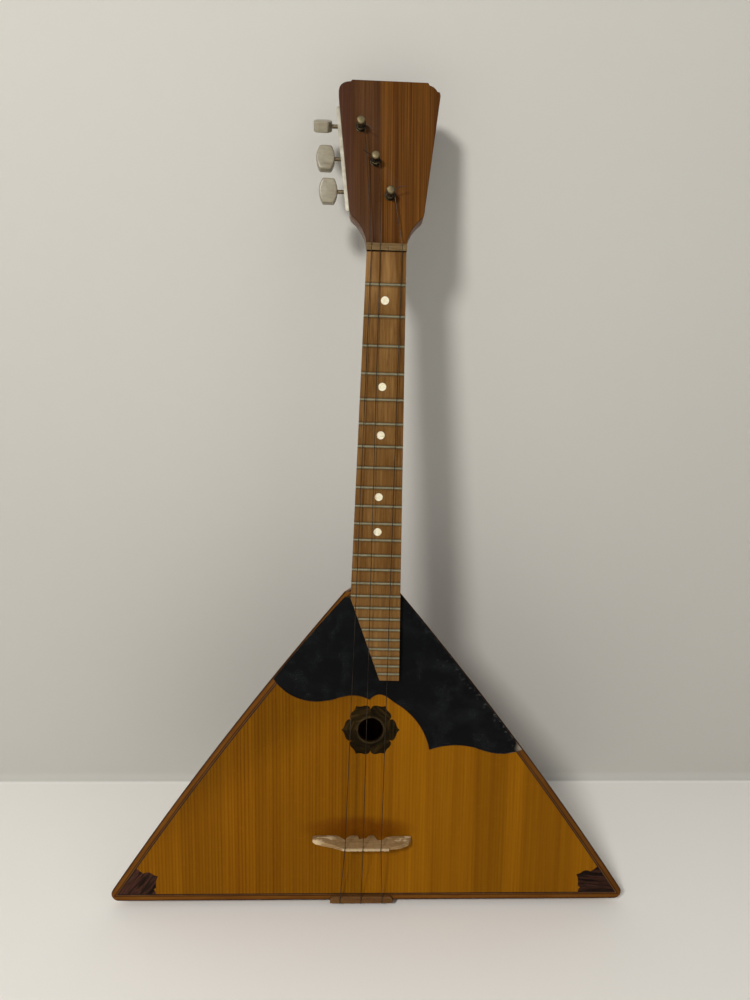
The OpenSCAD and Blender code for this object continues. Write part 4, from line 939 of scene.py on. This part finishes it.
def make_knob(name, turn_deg):
    """A flat finger knob with bowed ends and rounded rims."""
    joint = JOINTS[f"knob_turn_{name}"]
    origin, along = Vector(joint["pos_m"]), -Vector(joint["axis"]).normalized()
    outward = -Vector(JOINTS[f"post_turn_{name}"]["axis"]).normalized()
    head_up = along.cross(outward).normalized()
    turn = math.radians(turn_deg)
    wide = outward * math.sin(turn) + head_up * math.cos(turn)
    thick = -outward * math.cos(turn) + head_up * math.sin(turn)
    places = [v.co - origin for v in NODES[f"knob_{name}"].data.vertices]
    start = min(p.dot(along) for p in places)
    end = max(p.dot(along) for p in places)
    half_width = max(abs(p.dot(wide)) for p in places)
    half_thick = max(abs(p.dot(thick)) for p in places)
    outline = knob_outline(end - start, half_width)
    middle = (end - start) / 2
    layers = ((-1.0, 0.78), (-0.99, 0.86), (-0.95, 0.925), (-0.86, 0.972), (-0.70, 1.0), (0.0, 1.0),
              (0.70, 1.0), (0.86, 0.972), (0.95, 0.925), (0.99, 0.86), (1.0, 0.78))
    built = bmesh.new()
    rings = []
    for level, scale in layers:
        ring = []
        for reach, across in outline:
            place = origin + along * (start + middle + (reach - middle) * scale)
            place += wide * across * scale + thick * level * half_thick
            ring.append(built.verts.new(place))
        rings.append(ring)
    join_rings(built, rings)
    built.faces.new(rings[0])
    built.faces.new(rings[-1])
    bmesh.ops.recalc_face_normals(built, faces=built.faces)
    shell = f"knob_{name}_shell"
    piece = make_object(shell, mesh_of(built, shell, 42), f"knob_{name}", [f"knob_{name}"])
    round_edges(piece, 0.9, 3, 30)
    return piece


def line_height(corners, x):
    """The height of an open line of corners at x."""
    for (x0, y0), (x1, y1) in zip(corners, corners[1:]):
        if x0 <= x <= x1:
            return y0 + (y1 - y0) * (x - x0) / max(x1 - x0, 1e-6)
    return corners[0][1] if x < corners[0][0] else corners[-1][1]


def bridge_outline(half, height):
    """The bridge from the front: its top line and its underside, in mm from its middle and foot."""
    top = ((-half, 3.5), (-38.6, 5.5), (-31.7, 8.9), (-23.5, 11.8), (-17.8, 15.3), (-13.8, height),
           (22.2, height), (22.4, 14.2), (24.1, 14.6), (31.0, 13.3), (38.3, 8.6), (half, 3.5))
    under = ((-half, 0.4), (-30.0, 0.0), (-22.4, 0.0), (-19.8, 0.6), (-17.4, 2.7), (-15.3, 4.7),
             (-13.8, 6.1), (-13.1, 4.7), (-11.5, 2.0), (-9.8, 0.6), (-7.4, 0.0), (-3.6, 0.0),
             (-2.1, 4.9), (1.0, 4.4), (3.5, 4.2), (5.2, 1.8), (7.7, 0.0), (9.4, 0.0),
             (11.1, 2.2), (12.7, 5.5), (15.2, 6.6), (18.0, 5.3), (19.4, 3.5), (21.9, 2.3),
             (24.4, 1.7), (27.0, 1.2), (half, 1.0))
    return top, under


def make_bridge():
    """The loose bridge: three feet between two pointed arches, a low crest and rubbed wings."""
    low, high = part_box("bridge")
    centre_x, centre_z = (low.x + high.x) / 2, (low.z + high.z) / 2
    half, height = (high.x - low.x) / 2 / MM, (high.y - low.y) / MM
    base, crest = (high.z - low.z) / 2 / MM, 0.9
    top, under = bridge_outline(half, height)
    notches = [x - (centre_x - EDGE.x) / MM for x in STRING_AT_BRIDGE]
    marks = {round(x, 2) for x, _ in top + under}
    marks |= {round(-half + 2 * half * i / 120, 2) for i in range(121)}
    for notch in notches:
        marks |= {round(notch + away, 2) for away in (-0.7, -0.5, -0.25, 0.0, 0.25, 0.5, 0.7)}
    rows = 8
    built = bmesh.new()
    fronts, backs = [], []
    for x in sorted(marks):
        foot, head = line_height(under, x), line_height(top, x)
        for notch in notches:
            away = abs(x - notch) / 0.62
            if away < 1:
                head -= 0.75 * math.sqrt(1 - away * away)
        end_taper = min(1.0, 0.72 + (half - abs(x)) / 9.0)
        front, back = [], []
        for k in range(rows):
            y = foot + (head - foot) * k / (rows - 1)
            depth = base if y < 3 else base + (crest - base) * (y - 3) / (height - 3)
            carving = math.sin(x * 1.7 + y) * math.sin(x * 0.43 + 1.3 * y)
            depth = min(depth * end_taper + 0.16 * carving * min(1.0, y / 4), base)
            front.append(built.verts.new((centre_x + x * MM, high.y - y * MM, centre_z - depth * MM)))
            back.append(built.verts.new((centre_x + x * MM, high.y - y * MM, centre_z + depth * MM)))
        fronts.append(front)
        backs.append(back)
    last = rows - 1
    for i in range(len(fronts) - 1):
        for k in range(last):
            built.faces.new((fronts[i][k], fronts[i][k + 1], fronts[i + 1][k + 1], fronts[i + 1][k]))
            built.faces.new((backs[i][k], backs[i + 1][k], backs[i + 1][k + 1], backs[i][k + 1]))
        built.faces.new((fronts[i][last], backs[i][last], backs[i + 1][last], fronts[i + 1][last]))
        built.faces.new((fronts[i][0], fronts[i + 1][0], backs[i + 1][0], backs[i][0]))
    for i in (0, -1):
        for k in range(last):
            built.faces.new((fronts[i][k], backs[i][k], backs[i][k + 1], fronts[i][k + 1]))
    bmesh.ops.recalc_face_normals(built, faces=built.faces)
    piece = make_object("bridge_carved", mesh_of(built, "bridge_carved", 40), "bridge",
                        ["bridge"])
    round_edges(piece, 0.22, 2, 50)
    return piece


def bridge_wood():
    """Pale bare maple, greyed by handling, with fresh chip marks on the wings that also carry a painted
    highlight on their lit facets, and a rubbed crest.
    """
    r = Recipe("bridge_maple")
    x, y, z = r.axes()
    streak = r.grain("X", 1.0, 14, 2.0)
    fine = r.grain("X", 0.3, 12, 4.0)
    broad = r.grain("X", 6, 4, 6.0, 2.0)
    value = r.weighed((streak, 0.45), (broad, 0.35), (fine, 0.20))
    colour = r.ramp(value, [(0.34, (0.175, 0.098, 0.038)), (0.46, (0.260, 0.158, 0.066)),
                            (0.58, (0.320, 0.205, 0.094)), (0.70, (0.375, 0.255, 0.130))])
    # The pale spots low on the wings are partly fresh chips and partly a painted highlight on the facets
    # that catch the light.
    wing = r.fit(r.away(x, middle_of("bridge").x), 0.020, 0.027)
    rise = r.minus(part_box("bridge")[1].y, y)
    facet = r.fit(r.cloud((130, 220, 220), 2.0, offset=(3, 1, 0)), 0.50, 0.56)
    chips_and_glints = r.times(r.times(wing, facet), r.fit(rise, 0.010, 0.005))
    colour = r.cover(colour, (0.72, 0.56, 0.34), chips_and_glints, 0.8)
    crest = r.fit(rise, 0.0155, 0.0166)
    colour = r.cover(colour, (0.60, 0.46, 0.28), crest, 0.55)
    shadow = r.fit(rise, 0.0035, 0.0, 0.0, 0.55)
    colour = r.mix(shadow, colour, (0.075, 0.036, 0.012))
    edge = r.edge_wear(0.5)
    colour = r.cover(colour, (0.62, 0.48, 0.30), edge, 0.35)
    normal = r.bump(fine, 0.03)
    normal = r.bump(broad, 0.3, normal, 0.5)
    return r.finish(colour, 0.6, normal, specular=0.08)


# ---------- stage, light and camera ----------

def stage_paint(floor_z, bend):
    """Pale paint, darker on the wall; it is clear from behind, so that the back can be viewed."""
    r = Recipe("pale_stage")
    x, y, z = r.axes()
    soft = r.cloud(1.2, 2.0)
    floor = r.mix(r.fit(soft, 0.3, 0.7), (0.880, 0.855, 0.810), (0.910, 0.890, 0.845))
    wall = r.mix(r.fit(soft, 0.3, 0.7), (0.525, 0.510, 0.470), (0.550, 0.535, 0.495))
    colour = r.mix(r.fit(z, floor_z, floor_z + bend * 0.2, smooth=True), floor, wall)
    material = r.finish(colour, 0.9, specular=0.03)
    behind = r.add("ShaderNodeNewGeometry").outputs["Backfacing"]
    clear = r.add("ShaderNodeBsdfTransparent").outputs["BSDF"]
    output = next(n for n in r.nodes if n.type == "OUTPUT_MATERIAL")
    choice = r.add("ShaderNodeMixShader", {0: behind, 1: r.surface.outputs["BSDF"], 2: clear})
    r.links.new(choice.outputs["Shader"], output.inputs["Surface"])
    return material


def plain_stage():
    """A pale floor that turns up into a pale wall, which leans in until it nearly meets the head."""
    low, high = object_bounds()
    floor_z = low.z - 0.0004
    wall_y = EDGE.y + 0.205
    bend, width, reach, tall = 0.008, 6.0, 6.0, 2.2
    head_gap = 0.012
    rise = high.z - floor_z
    gears_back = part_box("tuner_plate")[1].y + GEAR_DEPTH * MM
    lean = math.atan2(wall_y - gears_back - head_gap, rise)
    profile = [(-reach, floor_z)]
    for k in range(13):
        a = (math.pi / 2 + lean) * k / 12
        profile.append((wall_y - bend + bend * math.sin(a), floor_z + bend - bend * math.cos(a)))
    last_y, last_z = profile[-1]
    profile.append((last_y - tall * math.tan(lean), last_z + tall))
    mesh = bpy.data.meshes.new("pale_stage")
    points, faces = [], []
    for y, z in profile:
        points += [(-width, y, z), (width, y, z)]
    for k in range(len(profile) - 1):
        faces.append((2 * k, 2 * k + 1, 2 * k + 3, 2 * k + 2))
    mesh.from_pydata(points, [], faces)
    mesh.polygons.foreach_set("use_smooth", [True] * len(mesh.polygons))
    stage = bpy.data.objects.new("pale_stage", mesh)
    bpy.context.scene.collection.objects.link(stage)
    stage.data.materials.append(stage_paint(floor_z, bend))
    return stage


def area_light(name, place, target, size, watts, colour=(1, 1, 1)):
    data = bpy.data.lights.new(name, "AREA")
    data.shape = "DISK"
    data.size = size
    data.energy = watts
    data.color = colour
    light = bpy.data.objects.new(name, data)
    light.location = place
    light.rotation_euler = (Vector(target) - Vector(place)).to_track_quat("-Z", "Y").to_euler()
    bpy.context.scene.collection.objects.link(light)
    return light


def studio_light():
    """A soft key from the upper left, a weak fill from the right and two lamps for the back."""
    world = bpy.data.worlds.new("soft_room")
    world.use_nodes = True
    back = world.node_tree.nodes["Background"]
    back.inputs["Color"].default_value = (0.97, 0.98, 1.0, 1)
    back.inputs["Strength"].default_value = 0.27
    bpy.context.scene.world = world
    middle = at(0, 0, 300)
    area_light("key", middle + Vector((-0.68, -1.50, 0.90)), middle, 0.30, 24.5, (1.0, 0.985, 0.955))
    area_light("fill", middle + Vector((1.3, -1.6, 0.9)), middle, 1.4, 4.0, (0.97, 0.985, 1.0))
    area_light("behind", middle + Vector((0.9, 1.9, 1.2)), middle, 1.0, 14.0, (1.0, 0.99, 0.97))
    area_light("behind_left", middle + Vector((-1.2, 1.5, 0.4)), middle, 1.0, 6.0, (0.97, 0.985, 1.0))


def photo_camera():
    """A wide lens just in front of the sound hole, tipped down eight degrees and slightly rolled."""
    data = bpy.data.cameras.new("camera")
    data.lens = 25.99
    data.sensor_width = 36
    camera = bpy.data.objects.new("camera", data)
    camera.location = at(-13.7, -559.5, 421.0)
    tip, roll, pan = 82.002, -0.713, -1.439
    camera.rotation_euler = [math.radians(angle) for angle in (tip, roll, pan)]
    scene = bpy.context.scene
    scene.collection.objects.link(camera)
    scene.camera = camera
    scene.view_settings.view_transform = "Standard"
    scene.view_settings.look = "None"


# ---------- dress every part ----------

def dress(material, *nodes):
    for node in nodes:
        part = NODES[node]
        part.data.materials.clear()
        part.data.materials.append(material)


def dress_body():
    dress(soundboard_wood(), "soundboard")
    side_lean = math.degrees(math.atan2(BOARD_HALF - NECK_HALF, BODY_LENGTH))
    dress(border_wood("border_left_wood", -side_lean, side_inset), "border_left")
    dress(border_wood("border_right_wood", side_lean, side_inset, 0.55), "border_right")
    dress(border_wood("border_tail_wood", 90, tail_inset), "border_tail")
    dress(rosewood("inlay_left_wood", -side_lean, 1.0, 0.75), "corner_inlay_left")
    dress(rosewood("inlay_right_wood", 84, 2.0, 0.5), "corner_inlay_right")
    dress(rosette_wood(), "rosette")
    pale = [(0.3, (0.080, 0.030, 0.006)), (0.5, (0.120, 0.048, 0.011)), (0.7, (0.170, 0.075, 0.020))]
    dress(plain_wood("light_line", pale, pitch=0.8), "purfling_light")
    black = [(0.3, (0.004, 0.0025, 0.002)), (0.5, (0.007, 0.004, 0.003)), (0.7, (0.014, 0.008, 0.005))]
    dress(plain_wood("dark_line", black, coat=0.1, pitch=0.8), "purfling_dark")
    dress(guard_plastic(), "pickguard")
    staves = ["stave_left_outer", "stave_left_middle", "stave_left_inner", "stave_centre",
              "stave_right_inner", "stave_right_middle", "stave_right_outer"]
    for number, node in enumerate(staves):
        dress(stave_wood(number), node)
        soften(node, 0.35)
    tail = [(0.3, (0.095, 0.034, 0.009)), (0.5, (0.16, 0.062, 0.015)), (0.72, (0.25, 0.105, 0.026))]
    dress(plain_wood("tail_wood", tail, along="X", pitch=2.0, seed=5.0, coat=0.2,
                     band=12.0, wear=(0.04, 0.016, 0.007)), "tail_board")
    for seed, node in enumerate(("neck_block", "tail_block", "lining_left", "lining_right", "brace_upper",
                                 "brace_middle", "brace_lower")):
        dress(inner_wood(f"inner_{node}", seed * 2.1), node)
    soften("soundboard", 0.12, 1)
    soften("pickguard", 0.45, 3)
    soften("tail_board", 0.5)
    soften("rosette", 0.08, 1)


def dress_neck():
    brown = [(0.28, (0.060, 0.022, 0.007)), (0.5, (0.115, 0.045, 0.013)), (0.72, (0.190, 0.082, 0.024))]
    dress(plain_wood("neck_wood", brown, pitch=1.8, stretch=45, seed=8.0, coat=0.22,
                     rough=(0.28, 0.42), wear=(0.030, 0.012, 0.006), wear_share=0.6), "neck")
    dress(head_wood(), "head_veneer")
    dress(fingerboard_wood(), "fingerboard")
    dress(metal("fret_metal", (0.270, 0.250, 0.160), (0.120, 0.100, 0.055), (0.34, 0.52),
                brush=(90, 1400, 1400), dirt=0.6, shine=0.75), "frets")
    dress(pearl(), "position_dots")
    aged = [(0.3, (0.085, 0.048, 0.017)), (0.5, (0.140, 0.086, 0.034)), (0.7, (0.230, 0.158, 0.072))]
    dress(bone("nut_bone", aged, 3.0), "nut")
    soften("head_veneer", 0.4, 3)
    soften("neck", 0.5, 2, 50)
    soften("fingerboard", 0.25, 2)
    soften("nut", 0.25, 2)
    soften("frets", 0.2, 1)
    soften("position_dots", 0.12, 1)


def dress_tail():
    brown = [(0.3, (0.080, 0.033, 0.009)), (0.5, (0.125, 0.057, 0.017)), (0.7, (0.190, 0.098, 0.036))]
    dress(bone("saddle_wood", brown, 6.0), "tail_saddle")
    dress(metal("pin_metal", (0.42, 0.38, 0.28), (0.16, 0.12, 0.07)), "hitch_pins")
    soften("tail_saddle", 0.5, 3)
    soften("hitch_pins", 0.15, 2)


def dress_tuners():
    brass = metal("post_brass", (0.25, 0.20, 0.105), (0.05, 0.035, 0.018), (0.34, 0.52), dirt=0.85)
    gear_brass = metal("gear_brass", (0.66, 0.50, 0.22), (0.28, 0.19, 0.07), (0.24, 0.42))
    shaft = metal("shaft_metal", (0.26, 0.20, 0.12), (0.05, 0.035, 0.02), (0.26, 0.44), dirt=0.7)
    # Painted shade: the post bushings get a near-black metal, standing in for the shade they sit in under
    # the posts.
    bushing_painted_dark = metal("bushing_metal_painted_dark", (0.035, 0.025, 0.014), (0.012, 0.008, 0.005), (0.40, 0.55), dirt=0.7)
    plate = metal("plate_metal", (0.40, 0.375, 0.30), (0.24, 0.21, 0.15), (0.50, 0.66),
                  brush=(90, 1400, 1400), dirt=0.4, shine=0.35)
    screws = metal("screw_metal", (0.50, 0.46, 0.36), (0.20, 0.16, 0.10), (0.28, 0.46))
    dress(brass, *(f"string_post_{name}" for name in POSTS))
    dress(gear_brass, *(f"gear_{name}" for name in POSTS))
    dress(screws, *(f"gear_screw_{name}" for name in POSTS))
    dress(shaft, *(f"worm_shaft_{name}" for name in POSTS))
    dress(bushing_painted_dark, "post_bushings")
    dress(plate, "tuner_plate")
    dress(screws, "plate_screws")
    for node in [f"string_post_{name}" for name in POSTS] + ["tuner_plate", "plate_screws", "post_bushings"]:
        soften(node, 0.15, 2)
    for name in POSTS:
        soften(f"gear_{name}", 0.12, 1)
        soften(f"gear_screw_{name}", 0.15, 2)
    plastic = knob_plastic()
    for name, turn in zip(POSTS, (-58, 0, 8)):
        make_knob(name, turn).data.materials.append(plastic)


def dress_strings():
    steel = string_metal()
    for piece in make_strings():
        piece.data.materials.append(steel)


def dress_bridge():
    make_bridge().data.materials.append(bridge_wood())


dress_body()
dress_neck()
dress_tail()
dress_tuners()
dress_strings()
dress_bridge()
plain_stage()
studio_light()
photo_camera()
